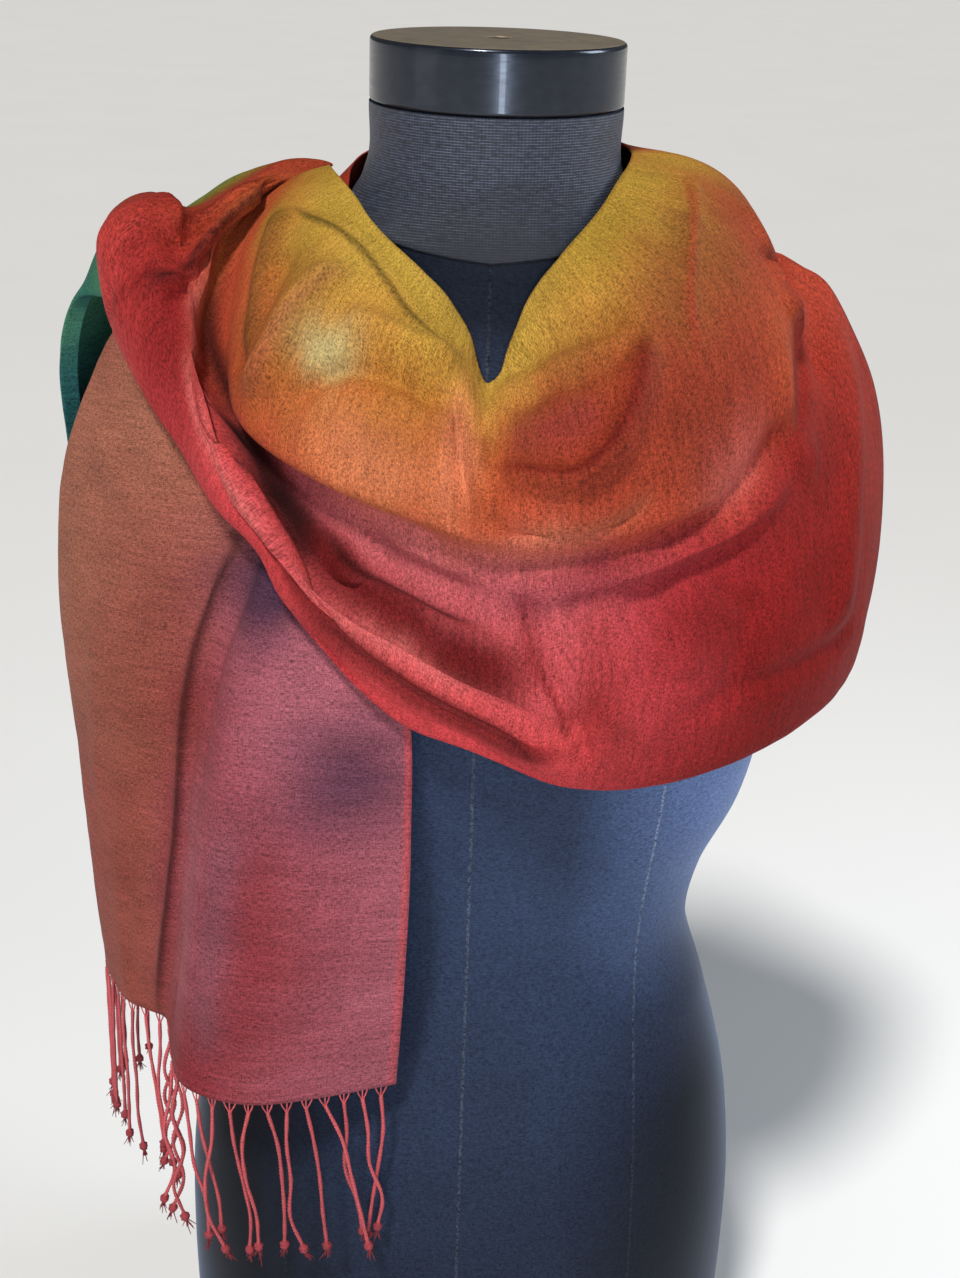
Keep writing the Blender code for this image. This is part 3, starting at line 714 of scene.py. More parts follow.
def dyed(along, lines, ragged):
    # the plan is looked up at every point and blurred a little, and the patches are laid over it
    rows, columns = dyeing["plan"]
    last = shawl["lines"] - 1
    stops = np.array([row[0] for row in dyePlan]) * mm
    table = np.array([[baths[name] for name in row[1:]] for row in dyePlan])
    fineStops, fineLines = np.linspace(stops[0], stops[-1], rows), np.linspace(0, last, columns)
    fine = np.zeros((rows, columns, 3))
    for k in range(3):
        atStops = np.stack([np.interp(fineStops, stops, table[:, n, k]) for n in range(len(bathLines))], axis=1)
        fine[:, :, k] = softened(np.stack([np.interp(fineLines, bathLines, row) for row in atStops]), dyeing["blur"])
    i = np.clip((along - stops[0]) / (stops[-1] - stops[0]) * (rows - 1), 0, rows - 1.001)
    j = np.clip((lines + ragged) / last * (columns - 1), 0, columns - 1.001)
    a, b = i.astype(int), j.astype(int)
    s, t = (i - a)[..., None], (j - b)[..., None]
    colour = fine[a, b] * (1 - s) * (1 - t) + fine[a + 1, b] * s * (1 - t)
    colour += fine[a, b + 1] * (1 - s) * t + fine[a + 1, b + 1] * s * t
    for place, line, sizeAlong, sizeAcross, bath, strength in dyePatches:
        fallOff, uneven = dyeing["firm" if bath in dyeing["deep"] else "soft"]
        gap = ((along - place * mm) / (sizeAlong * mm)) ** 2 + ((lines + uneven * ragged - line) / sizeAcross) ** 2
        colour = laidOver(colour, bath, (strength * np.exp(-gap**fallOff))[..., None])
    return colour


# lines of dye along folds and selvedges, many of them painted shade in troughs or painted highlight on crests: half
# width in millimetres, bath, strength, path
dyeLines = {
    "front_cowl": (
        (1.6, "moss", 0.85, 1285, 1.9, 1273, 1.5, 1235, 0.8, 1203, 0.6, 1175, 0.8, 1152, 1.1, 1133, 1.3, 1116, 1.7),
        (5, "orange", 0.35, 1197, 4, 1180, 3.5, 1160, 3.1, 1140, 3),
        (4, "olive", 0.60, 1285, 1.2, 1235, 0.3, 1203, 0.15, 1175, 0.3, 1150, 0.6, 1125, 0.9),
        # painted shade along the deep valley of the left roll
        (5, "brown", 0.40, 1197, 0.9, 1201, 1.6, 1206, 2.6, 1208, 3.6, 1213, 4.6),
        # the hollow at the right of the neckline: painted shade in its trough, wine over it partly dye and partly
        # painted shade, and painted highlight in salmon on the lip below
        (4.5, "garnet", 0.70, 1018, 2, 1026, 2.5, 1035, 3.1, 1048, 3.7, 1064, 4, 1082, 3.7, 1098, 3.2),
        (14, "wine", 0.40, 1092, 2.5, 1080, 2.9, 1066, 3.1, 1046, 2.9),
        (5, "salmon", 0.30, 1030, 4.5, 1048, 4.9, 1068, 5, 1088, 4.7),
        (2.2, "brick", 0.55, 915, 0.9, 968, 1.4, 994, 2, 1004, 2.7, 1010, 3.6),
        # painted shade under the tongue's edge, down the pleat beside it, and along the groove under the tube
        (3, "umber", 0.75, 1186, 8.1, 1166, 8.35, 1146, 8.3, 1129, 8.25, 1111, 8.2, 1094, 8.2),
        (2, "garnet", 0.65, 1085, 7, 1081, 7.9, 1077, 9, 1068, 10.2, 1062, 11.8),
        (3, "umber", 0.60, 1180, 12.2, 1156, 11.7, 1129, 11.4, 1102, 11.5, 1085, 11.8, 1066, 12.6),
        # painted shade in the pinches on the near shoulder, in the gap between rim and roll, and along the fold
        # beside it
        (2.4, "umber", 0.85, 1320, 8, 1302, 9.3, 1289, 10.1, 1282, 11.2, 1278, 12.8),
        (2, "garnet", 0.70, 1326, 9.4, 1312, 10.4, 1300, 11.4),
        (2, "garnet", 0.60, 1304, 13.8, 1286, 12.9, 1284, 11.6),
        (6.5, "umber", 0.85, 1316, 6, 1302, 6.5, 1286, 6.8, 1264, 6.3, 1244, 6.2, 1226, 6.6, 1210, 7.2),
        (5, "moss", 0.60, 1290, 1.9, 1262, 2.5, 1240, 3.3, 1226, 4.4),
        (5, "orange", 0.75, 1330, 8.2, 1310, 6.4, 1296, 6.8, 1276, 8.6, 1255, 9.2, 1238, 9.9),
        # painted shade in the trough at the far shoulder
        (2.4, "garnet", 0.65, 948, 3.5, 930, 4, 914, 4.8, 900, 5.9),
        # painted highlight along the band's crest at the near shoulder
        (4, "blush", 0.60, 1290, 8.9, 1266, 9.4, 1250.4, 9.7, 1238, 10, 1222, 10.3, 1200, 10.3, 1180, 10),
        (4, "wine", 0.50, 1004, 5.9, 1020, 6.4, 1040, 6.6, 1064, 6.5),
    ),
    "front_tail": (
        # painted shade along the fold between the tail's two panels
        (2.6, "umber", 0.75, 370, 5.5, 320, 5.8, 292, 6, 246, 6.2, 200, 6.3, 141, 6.2, 74, 6.3, -30, 6.6),
        (10, "mauve", 0.35, 262, 5, 230, 5, 141, 5, 60, 5.1),
        (12, "slate", 0.40, 190, 3.3, 127, 3.4, 65, 3.4, 10, 3.3),
        (1.5, "red", 0.80, 320, 0.05, 240, 0.05, 120, 0.05, -60, 0.05),
    ),
    "neck_wrap": (),
    "back_tail": (
        (1.5, "petrol", 0.80, 1420, 0.1, 1560, 0.1, 1700, 0.1, 1900, 0.1),
    ),
}


def setDye(piece, colour):
    shade = np.ones((len(colour), 4))
    shade[:, :3] = colour
    dye = piece.data.color_attributes.new("dye", "FLOAT_COLOR", "POINT")
    dye.data.foreach_set("color", shade.ravel().astype(np.float32))


def makeCloth(node, grid, along, lines):
    stretch = stretches[node]
    rows, columns = grid.shape[:2]
    material = makeClothMaterial(stretch["slot"])
    piece = addMesh(stretch["piece"], grid.reshape(-1, 3), gridFaces(rows, columns).tolist(), material)
    mesh = piece.data
    streak, drift = wandering(along, lines, "streak"), wandering(along, lines, "drift")
    shift, ragged = dyeing["shift"] * drift, dyeing["ragged"][0] * streak + dyeing["ragged"][1] * drift
    colour = dyed(along + shift, lines, ragged).reshape(-1, 3)
    for width, bath, strength, *path in dyeLines[node]:
        near, fade = besidePath(grid, along, lines, path)
        colour = laidOver(colour, bath, (strength * np.exp(-near / (width * mm) ** 2) * fade)[:, None])
    setDye(piece, colour)
    across = np.concatenate([[0], np.cumsum(np.linalg.norm(np.diff(grid, axis=1), axis=2).mean(axis=0))])
    flat = np.stack([along.ravel(), np.tile(across, rows)], axis=1)
    corners = np.zeros(len(mesh.loops), int)
    mesh.loops.foreach_get("vertex_index", corners)
    threads = mesh.uv_layers.new(name="threads")
    threads.data.foreach_set("uv", flat[corners].ravel().astype(np.float32))
    wall = piece.modifiers.new("wall", "SOLIDIFY")
    wall.thickness = shawl["thickness"]
    wall.offset = 0.0
    wall.use_rim = True
    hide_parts(node)
    return piece


# materials

def nodesOf(name):
    material = bpy.data.materials.new(name)
    material.use_nodes = True
    tree = material.node_tree
    return material, tree, tree.nodes["Principled BSDF"]


def setSockets(tree, node, values):
    # each named socket gets a number or colour of its own, or a link from another node
    for name, value in values.items():
        socket = node.inputs[name]
        if isinstance(value, bpy.types.NodeSocket):
            tree.links.new(value, socket)
        else:
            socket.default_value = (*value, 1.0) if socket.type == "RGBA" else value


def newNode(tree, kind, sockets=None, **settings):
    node = tree.nodes.new("ShaderNode" + kind)
    for name, value in settings.items():
        setattr(node, name, value)
    setSockets(tree, node, sockets or {})
    return node


def mathNode(tree, kind, a, b=0.5):
    return newNode(tree, "Math", {0: a, 1: b}, operation=kind).outputs[0]


def product(tree, *factors):
    made = factors[0]
    for factor in factors[1:]:
        made = mathNode(tree, "MULTIPLY", made, factor)
    return made


def noiseNode(tree, vector, scale, detail=2.0, roughness=0.5, distortion=0.0):
    # scale is one number, or one for each axis
    if isinstance(scale, tuple):
        vector, scale = newNode(tree, "Mapping", {"Vector": vector, "Scale": scale}).outputs[0], 1.0
    sockets = {"Vector": vector, "Scale": scale, "Detail": detail, "Roughness": roughness, "Distortion": distortion}
    return newNode(tree, "TexNoise", sockets).outputs["Fac"]


def rangeNode(tree, value, low, high, toLow=0.0, toHigh=1.0):
    sockets = {"Value": value, "From Min": low, "From Max": high, "To Min": toLow, "To Max": toHigh}
    return newNode(tree, "MapRange", sockets).outputs[0]


def mixNode(tree, factor, a, b, blend="MIX"):
    return newNode(tree, "Mix", {0: factor, 6: a, 7: b}, data_type="RGBA", blend_type=blend).outputs[2]


def shadedBy(tree, colour, shade):
    grey = newNode(tree, "CombineColor", {0: shade, 1: shade, 2: shade}).outputs[0]
    return mixNode(tree, 1.0, colour, grey, "MULTIPLY")


def bumpNode(tree, height, strength, distance, before=None):
    sockets = {"Height": height, "Strength": strength, "Distance": distance}
    if before:
        sockets["Normal"] = before
    return newNode(tree, "Bump", sockets).outputs[0]


def placeOn(tree):
    # the point's place on the object, and its three coordinates apart
    where = newNode(tree, "TexCoord").outputs["Object"]
    return where, newNode(tree, "SeparateXYZ", {0: where}).outputs


def dyeOf(tree):
    return newNode(tree, "VertexColor", layer_name="dye").outputs["Color"]


weave = {
    "weft": (1700.0, 520.0, 1.0),    # threads across the cloth: fine along it, long across it
    "warp": (520.0, 1900.0, 1.0),
    "slub": (520.0, 60.0, 1.0),      # thicker, darker weft threads here and there
    "pucker": (230.0, 42.0, 1.0),    # soft crepe wrinkles that run across the cloth
    "puckering": (0.55, 0.0022),     # strength and depth of the wrinkles
    "threading": (0.55, 0.0006),
    "cloud": 26.0,
    "gather": 17.0,                  # size of the areas where the cloth is puckered
    "flecks": (0.42, 1.52),          # how dark and how light the mixed yarn's flecks are
    "roughness": 0.72,
    "sheen": 0.03,
    "sheenTint": (1.0, 0.78, 0.72),
    "specular": 0.08,
}


def makeClothMaterial(name):
    material, tree, shader = nodesOf(name)
    uv = newNode(tree, "UVMap", uv_map="threads").outputs["UV"]
    weft, warp = (noiseNode(tree, uv, weave[kind], 2.0, 0.6) for kind in ("weft", "warp"))
    slub = mathNode(tree, "SUBTRACT", noiseNode(tree, uv, weave["slub"], 3.0, 0.6), 0.5)
    mixed = mathNode(tree, "ADD", product(tree, weft, 0.55), product(tree, warp, 0.45))
    mixed = mathNode(tree, "ADD", mixed, product(tree, slub, 0.25))
    fleck = rangeNode(tree, mixed, 0.36, 0.64, *weave["flecks"])
    clouded = rangeNode(tree, noiseNode(tree, uv, weave["cloud"], 3.0), 0.3, 0.7, 0.88, 1.12)
    pucker = noiseNode(tree, uv, weave["pucker"], 2.0, 0.55, 0.6)
    gathered = rangeNode(tree, noiseNode(tree, uv, weave["gather"]), 0.42, 0.62)
    puckered = bumpNode(tree, product(tree, pucker, gathered), *weave["puckering"])
    setSockets(tree, shader, {
        "Base Color": shadedBy(tree, dyeOf(tree), product(tree, fleck, clouded)),
        "Normal": bumpNode(tree, mathNode(tree, "ADD", weft, warp), *weave["threading"], puckered),
        "Roughness": weave["roughness"],
        "Sheen Weight": weave["sheen"],
        "Sheen Roughness": 0.35,
        "Sheen Tint": weave["sheenTint"],
        "Specular IOR Level": weave["specular"],
    })
    return material


knit = {
    "colour": (0.012, 0.019, 0.043),
    "fleck": (0.038, 0.058, 0.120),
    "rows": 1150.0,             # knitted rows to the metre
    "grain": (900.0, 900.0, 500.0),
    "sheen": 0.20,
    "sheenTint": (0.45, 0.62, 1.0),
    "roughness": 0.48,
    "specular": 0.10,
}


def makeJerseyMaterial(name, base, fleck, rows, contrast):
    material, tree, shader = nodesOf(name)
    where, (x, _, z) = placeOn(tree)
    course = noiseNode(tree, where, (420.0, 420.0, rows), 2.0, 0.6)
    grain = noiseNode(tree, where, knit["grain"], 2.0, 0.6)
    mixed = mathNode(tree, "ADD", product(tree, course, 0.6), product(tree, grain, 0.4))
    colour = mixNode(tree, rangeNode(tree, mixed, 0.5 - contrast, 0.5 + contrast), base, fleck)
    foot = rangeNode(tree, z, 0.06, 0.38, 0.20, 1.0)      # painted shade, darker towards the foot
    # painted shade on the top of the chest, under the cowl
    chestShade = rangeNode(tree, z, 0.64, 0.68, 1.0, 0.22)
    side = rangeNode(tree, mathNode(tree, "ABSOLUTE", x), 0.05, 0.125)
    waist = product(tree, rangeNode(tree, z, 0.30, 0.44), rangeNode(tree, z, 0.56, 0.48))
    waistHighlight = rangeNode(tree, product(tree, side, waist), 0, 1, 1.0, 5.0)     # painted highlight on the sides of the waist
    # painted shade on the sides of the hips
    hipShade = rangeNode(tree, product(tree, side, rangeNode(tree, z, 0.34, 0.24)), 0, 1, 1.0, 0.12)
    uneven = rangeNode(tree, noiseNode(tree, where, 9.0), 0.3, 0.7, 0.85, 1.15)
    setSockets(tree, shader, {
        "Base Color": shadedBy(tree, colour, product(tree, uneven, foot, chestShade, waistHighlight, hipShade)),
        "Normal": bumpNode(tree, mixed, 0.35, 0.0005),
        "Roughness": knit["roughness"],
        "Sheen Weight": knit["sheen"],
        "Sheen Roughness": 0.35,
        "Sheen Tint": knit["sheenTint"],
        "Specular IOR Level": knit["specular"],
    })
    return material


net = {"rowPitch": 0.00125, "ribs": 230, "thread": (0.085, 0.100, 0.165), "gap": (0.005, 0.007, 0.014)}


def makeNetMaterial(name):
    # an open knit: rows up the neck and ribs round it, seen as a fine net
    material, tree, shader = nodesOf(name)
    where, (x, y, z) = placeOn(tree)
    turn = mathNode(tree, "ARCTAN2", y, x)
    rows = mathNode(tree, "SINE", product(tree, z, 2 * math.pi / net["rowPitch"]))
    ribs = mathNode(tree, "SINE", product(tree, turn, net["ribs"]))
    ribShare = product(tree, rangeNode(tree, ribs, 0.0, 1.0), 0.55)
    thread = mathNode(tree, "MAXIMUM", rangeNode(tree, rows, -0.3, 0.9), ribShare)
    uneven = rangeNode(tree, noiseNode(tree, where, (260.0, 260.0, 900.0), 2.0, 0.6), 0.3, 0.7, 0.15, 1.3)
    # painted shade, darker towards the neck band's foot where the cloth's shadow falls
    lit = product(tree, thread, product(tree, uneven, rangeNode(tree, z, 0.705, 0.745, 0.12, 1.0)))
    setSockets(tree, shader, {
        "Base Color": mixNode(tree, lit, net["gap"], net["thread"]),
        "Normal": bumpNode(tree, lit, 0.6, 0.0005),
        "Roughness": 0.6,
        "Sheen Weight": 0.1,
    })
    return material


def makeGlossMaterial(name, base, roughness, metallic, coat=0.0):
    material, tree, shader = nodesOf(name)
    where, _ = placeOn(tree)
    wear = noiseNode(tree, where, 160.0, 4.0, 0.6)
    rub = noiseNode(tree, where, (40.0, 40.0, 600.0), 3.0, 0.6)
    worn = tuple(min(1.0, c * 1.8 + 0.01) for c in base)
    setSockets(tree, shader, {
        "Base Color": mixNode(tree, rangeNode(tree, wear, 0.35, 0.75, 0.0, 0.35), base, worn),
        "Roughness": rangeNode(tree, rub, 0.3, 0.7, roughness * 0.8, roughness * 1.25),
        "Normal": bumpNode(tree, wear, 0.04, 0.0003),
        "Metallic": metallic,
        "Coat Weight": coat,
    })
    return material


# making the form

knitCloth = makeJerseyMaterial("cover_jersey", knit["colour"], knit["fleck"], knit["rows"], 0.16)
neckKnit = makeNetMaterial("neck_net")
seamThread = makeJerseyMaterial("seam_thread", (0.014, 0.020, 0.040), (0.085, 0.105, 0.160), 900.0, 0.10)
capGloss = makeGlossMaterial("cap_side", (0.020, 0.025, 0.038), 0.24, 0.60, 0.25)
# the top's beige is a painted reflection of the room, on a partly metallic finish
capTopReflection = makeGlossMaterial("cap_top_reflection", (0.36, 0.29, 0.20), 0.34, 0.6, 0.2)
capHole = makeGlossMaterial("cap_hole", (0.05, 0.03, 0.02), 0.6, 0.2)
torso = makeTorso(knitCloth)
makeNeckBand(neckKnit)
makeSeams(seamThread)
makeCap(capGloss, capTopReflection, capHole)
print("form made")


# making the cloth

detail = {"tailSteps": 34, "wrapTurns": 150, "cowlTurns": 230, "acrossSteps": 14, "backSteps": 26}

# each crease: half width and rise in millimetres, then its path
cowlCreases = (
    # the second selvedge under the neckline, and the folds of the left roll
    (2.2, -2.6, 1285, 1.9, 1273, 1.5, 1235, 0.8, 1203, 0.6, 1175, 0.8, 1152, 1.1, 1133, 1.3, 1118, 1.7),
    (3, 1.5, 1280, 1.3, 1235, 0.35, 1203, 0.2, 1175, 0.35, 1150, 0.6, 1125, 0.9),
    (8, -14, 1200, 0.9, 1204, 1.5, 1208, 2.5, 1208, 3.4, 1213, 4.6),
    (8, 6, 1250, 1.6, 1238, 2.6, 1234, 3.8, 1240, 4.8),
    (6, 8, 1196, 4.4, 1180, 3.2, 1164, 2.7, 1141, 2.5, 1128, 2.5, 1112, 2),
    (8, -11, 1187, 2.2, 1169, 1.9, 1148, 1.8, 1127, 1.6, 1115, 1.4),
    # the right side of the neckline, the ridge at the middle and the hollow beside it
    (7, 8, 1020, 1.9, 1042, 1.4, 1068, 1, 1083, 0.6, 1098, 0.2),
    (8, 6, 1012, 2.2, 1036, 2.3, 1056, 2.3, 1078, 2, 1094, 1.6),
    (4, 6, 1118, 1.8, 1114, 2.6, 1112, 3.2, 1110, 3.8, 1108, 4.4, 1104, 5.3),
    (5, -6, 1104, 2.4, 1102, 3.2, 1098, 3.9, 1095, 4.6),
    (6.5, -15, 1016, 1.9, 1024, 2.4, 1034, 3.1, 1047, 3.8, 1064, 4.1, 1082, 3.8, 1100, 3.2),
    (6, 6, 1026, 4.3, 1044, 5, 1065, 5.2, 1086, 4.9, 1102, 4.3),
    (6, 5, 1092, 0.9, 1066, 1.4, 1040, 1.7, 1018, 1.6),
    (3, -3, 905, 1, 916, 1.1, 968, 1.4, 994, 2, 1004, 2.7, 1010, 3.4),
    (5, 2, 925, 0.6, 975, 1, 1000, 1.7),
    # the lit tongue under the roll and the deep fold below it
    (7, 6.5, 1205, 6.4, 1186, 7, 1165, 7.3, 1144, 7.4, 1129, 7.4, 1111, 7.3, 1088, 7.2),
    (6, -8, 1180, 8.6, 1165, 8.7, 1146, 8.7, 1129, 8.7, 1111, 8.7, 1090, 8.5),
    (7, -5, 1095, 7, 1060, 7.3, 1030, 7, 1000, 6.6, 970, 6.6),
    (8, 4, 1050, 8.6, 1024, 8.2, 1000, 7.6, 975, 7.2),
    # the tube along the band, the groove under it and the pinch where they end
    (7, 5, 1228, 10.6, 1205, 11.2, 1184, 10.9, 1153, 9.9, 1135, 9.9, 1102, 10, 1078, 10.3, 1062, 11.6),
    (6, -7, 1192, 12.9, 1172, 12, 1156, 11.5, 1129, 11.2, 1102, 11.3, 1085, 11.5, 1066, 12.3),
    (5, 3, 1190, 14.2, 1160, 13.4, 1125, 13, 1090, 13.2, 1062, 13.8),
    (4, 6, 1083, 6.6, 1080, 7.8, 1076, 9.1, 1067, 9.9, 1060, 11.2, 1057, 13.4),
    (6, -6, 1070, 7, 1066, 8.4, 1060, 9.3, 1052, 10.4, 1046, 12.4),
    (11, -5, 1003, 8.6, 1010, 9.1, 1018, 9.8, 1024, 11.2),
    (9, 3, 985, 9.4, 995, 10.6, 1002, 12),
    (5, -7, 1288, 1.9, 1262, 2.4, 1240, 3.2, 1228, 4.4),
    (7, 3.5, 1262, 9.2, 1244, 9.6, 1226, 9.9, 1210, 10.4, 1190, 10.9),
    # the right side and the far shoulder
    (9, 6, 1036, 6.4, 1010, 5.9, 989, 5.2, 970, 4.9, 950, 5.2),
    (8, -6, 1050, 7.5, 1024, 7.3, 1000, 6.9, 980, 6.6, 958, 7),
    (4, 6, 942, 2.6, 925, 3.1, 908, 3.9, 892, 5),
    (4, -6, 948, 3.5, 930, 4, 914, 4.8, 900, 5.9),
    (12, -5, 880, 7.8, 900, 8.8, 925, 10, 940, 12.2),
    (10, -4, 955, 3.2, 960, 4.7, 955, 6.2, 940, 8),
    (8, 3.5, 885, 4.6, 905, 6, 915, 7.6),
    (7, 3, 900, 12.4, 950, 12, 1000, 11.9, 1035, 12.4),
    (5, -2.5, 900, 2.2, 925, 3, 945, 4.2),
    # pinches on top of the near shoulder
    (4.5, 7, 1322, 8.6, 1310, 9.6, 1300, 10.6, 1294, 11.8, 1288, 13.2),
    (4.5, 6, 1306, 7.6, 1294, 8.8, 1281, 9.8, 1274, 10.9, 1268, 12.4),
    (3, -5, 1316, 8.3, 1300, 9.4, 1288, 10.2, 1281, 11.3, 1277, 12.6),
    (3.5, 4, 1316, 14.2, 1297, 13.2, 1290, 12.4),
    (8, -7, 1332, 11.6, 1316, 11.4, 1298, 10.9),
    (10, 3, 1262, 8.6, 1240, 10, 1222, 11.6),
)
tailCreases = (
    (5, -5, 370, 5.4, 320, 5.8, 292, 6, 246, 6.2, 200, 6.3, 141, 6.2, 74, 6.3, -30, 6.6),
    (6, 3.5, 370, 4.6, 300, 5, 246, 5.2, 141, 5.2, 60, 5.3, -30, 5.6),
    (6, -1.6, 200, 1.9, 157, 1.8, 114, 1.8, 71, 1.7, 20, 1.7),
    (7, -1.6, 260, 3.8, 186, 3.6, 127, 3.3, 65, 3.2, 10, 3.2),
    (6, 1.4, 150, 0.8, 100, 0.9, 40, 0.8),
    (8, 2.2, 310, 3.3, 280, 2.3, 251, 1.6, 236, 0.6),
    (5, -1.6, 295, 3, 268, 2, 242, 1),
    (10, -2.5, 370, 10.4, 354, 9.6, 333, 8.7, 326, 7.4),
    (9, -2, 290, 8.4, 220, 8.9, 120, 9.2),
    (8, 1.8, 240, 11.6, 150, 11.2, 50, 11.4),
    (5, 1.6, 120, 7.4, 60, 7.8, 10, 7.6),
)
wrapCreases = (
    (7, -3.5, 520, 3, 600, 4.6, 680, 5.4, 760, 4.8, 850, 3.6),
    (9, -3.5, 540, 7.6, 620, 8.6, 700, 9, 790, 8.2),
    (8, 3, 560, 5.8, 640, 6.9, 730, 7, 820, 6),
    (10, -3, 600, 12.2, 680, 12.8, 760, 12, 840, 10.6),
    (8, 2.5, 640, 10.8, 720, 11, 800, 9.8),
)
backCreases = (
    (6, -2.5, 1390, 3.4, 1460, 4.2, 1560, 4.6, 1680, 4.4, 1800, 4.8),
    (7, 2.5, 1400, 8, 1480, 8.3, 1600, 8.1, 1730, 8.5),
    (6, -2.5, 1380, 10.8, 1450, 11.4, 1540, 12, 1620, 12.2),
    (6, 2, 1560, 1.6, 1660, 2, 1790, 1.7),
    (7, -2, 1620, 10, 1720, 10.6, 1830, 10.2),
)


def widened(sections, steps):
    return np.swapaxes(curveThrough(np.swapaxes(np.array(sections), 0, 1), steps), 0, 1)


across = detail["acrossSteps"]
bpy.context.view_layer.update()
formTree = BVHTree.FromObject(torso, bpy.context.evaluated_depsgraph_get())

overShoulder = [neckWrapSection(-180), neckWrapSection(-165)]
tailSections = [frontTailSection(row) for row in frontTail]
tailGrid = curveThrough(tailSections + overShoulder, detail["tailSteps"])[:detail["tailSteps"] * len(frontTail) + 1]
tailGrid = widened(tailGrid, 12)
wrapGrid = widened([neckWrapSection(t) for t in np.linspace(-180, 0, detail["wrapTurns"])], across)
tailGrid = keptClear(tailGrid, formTree, shawl["formClearance"])
wrapGrid = keptClear(wrapGrid, formTree, shawl["formClearance"])
cowlGrid = widened([cowlSection(t) for t in np.linspace(0, 180, detail["cowlTurns"])], across)
cowlGrid = keptClear(cowlGrid, formTree, shawl["formClearance"])
halfWrap = slice(1, len(wrapGrid) // 2)     # the half of the wrap that lies under the shoulder

layersBelow = (treeOf(tailGrid[:, ::-1]), treeOf(wrapGrid[halfWrap, ::-1]))
for tree in layersBelow:
    cowlGrid = keptClear(cowlGrid, tree, shawl["layerClearance"], 0.012, rounds=2)
shoulder = [curveThrough(cowlSection(t), 2) for t in (165, 180)]
backSections = shoulder + [backTailSection(row) for row in backTail]
backGrid = curveThrough(backSections, detail["backSteps"])[detail["backSteps"]:]
backGrid = widened(backGrid, across // 2)
backGrid = keptClear(backGrid, formTree, shawl["formClearance"])
for tree in layersBelow:
    backGrid = keptClear(backGrid, tree, shawl["layerClearance"], 0.02, rounds=2)
backGrid[0] = cowlGrid[-1]
cowlGrid[0] = wrapGrid[-1]
print("cloth laid out", tailGrid.shape, wrapGrid.shape, cowlGrid.shape, backGrid.shape)

grids = {"front_tail": tailGrid, "neck_wrap": wrapGrid, "front_cowl": cowlGrid, "back_tail": backGrid}
creases = {"front_tail": tailCreases, "neck_wrap": wrapCreases, "front_cowl": cowlCreases, "back_tail": backCreases}
cloth, shapedGrids, under = {}, {}, []
for seed, (node, grid) in enumerate(grids.items()):
    along, lines = clothPlaces(grid, stretches[node]["span"])
    rise = creased(grid, along, lines, creases[node]) + rippled(grid, seed, *shawl["ripple"])
    fade, ends = np.ones(len(grid)), shawl["seamRows"]
    fade[:ends] *= np.linspace(0, 1, ends)
    fade[-ends:] *= np.linspace(1, 0, ends)
    shaped = grid + gridNormals(grid) * (rise * fade[:, None])[..., None]
    shaped[ends:-ends] = keptClear(shaped[ends:-ends], formTree, shawl["formClearance"])
    if node in ("front_tail", "neck_wrap"):
        under.append(treeOf((shaped if node == "front_tail" else shaped[halfWrap])[:, ::-1]))
    else:
        for tree in under:
            shaped[4:-4] = keptClear(shaped[4:-4], tree, shawl["foldClearance"], 0.012, rounds=2)
    shapedGrids[node] = shaped
    cloth[node] = makeCloth(node, shaped, along, lines)
print("cloth made")


# the fringes: the warp ends, twisted together and knotted, each with a frayed tip

fringe = {
    "pitch": 0.010,
    "length": (0.090, 0.102),
    "radius": 0.00100,
    "twist": 0.0045,            # metres of strand to one turn of its two plies
    "clearance": 0.003,
    "joint": 0.0055,            # how far under the hem a strand's warp ends meet
    "hang": (0, 0.22, 0.46, 0.70, 0.90),    # where along a strand its sways lie
    "sway": 3.2,                # most sway in millimetres from one of these to the next, where none is given
    "shades": (0.85, 1.15),
    "knot": 2.5,                # how many times thicker than the strand
    "knotSpan": (-0.0012, 0.0052),
    "hairs": 12,
    "hairLength": (0.004, 0.008),
    "hairRadius": (0.00042, 0.00022),
    "hairSpread": 0.22,
    "hairCurl": 20,
    "hairClearance": 0.0015,
    "roots": 0.0032,            # how far to either side of a strand its warp ends leave the hem
}

# sideways sway of the strands in sight, in millimetres from root to knot, from the free selvedge on
frontSways = (
    (0, 1.4, -1, -4, -6), (0, 3, 4, 11, 9), (0, 1.6, 0.6, 7, 10), (0, 9, 14, 19, 23), (0, 4, 7, 8.6, 10.6),
    (0, -0.4, 1.6, 1, 7.6), (0, 5, 7, 8, 8), (0, -3.6, -2, 3, 4), (0, 2, 6, 9.6, 9), (0, -1, -5, -4, 4),
    (0, 2, 6, 10, 11), (0, 2, 4, 10, 10.6), (0, -3, 2, -4, 1), (0, 4, -2, 3, -3), (0, -2, -6, -1, -7),
    (0, 3, -1, 5, 2), (0, -4, 1, -5, -2), (0, 2, -4, 2, -5),
)


def tubeOf(path, radii, sides, lobes=0.0, spins=0.0):
    way = np.gradient(path, axis=0)
    way /= np.linalg.norm(way, axis=1)[:, None]
    first = np.cross(way, (0.15, 1.0, 0.0))
    first /= np.linalg.norm(first, axis=1)[:, None]
    second = np.cross(way, first)
    angle = np.arange(sides) * 2 * math.pi / sides
    spin = spins * 2 * math.pi * np.linspace(0, 1, len(path))
    reach = radii[:, None] * (1 + lobes * np.cos(2 * (angle[None, :] - spin[:, None])))
    ring = path[:, None] + (reach * np.cos(angle))[..., None] * first[:, None]
    return ring + (reach * np.sin(angle))[..., None] * second[:, None]


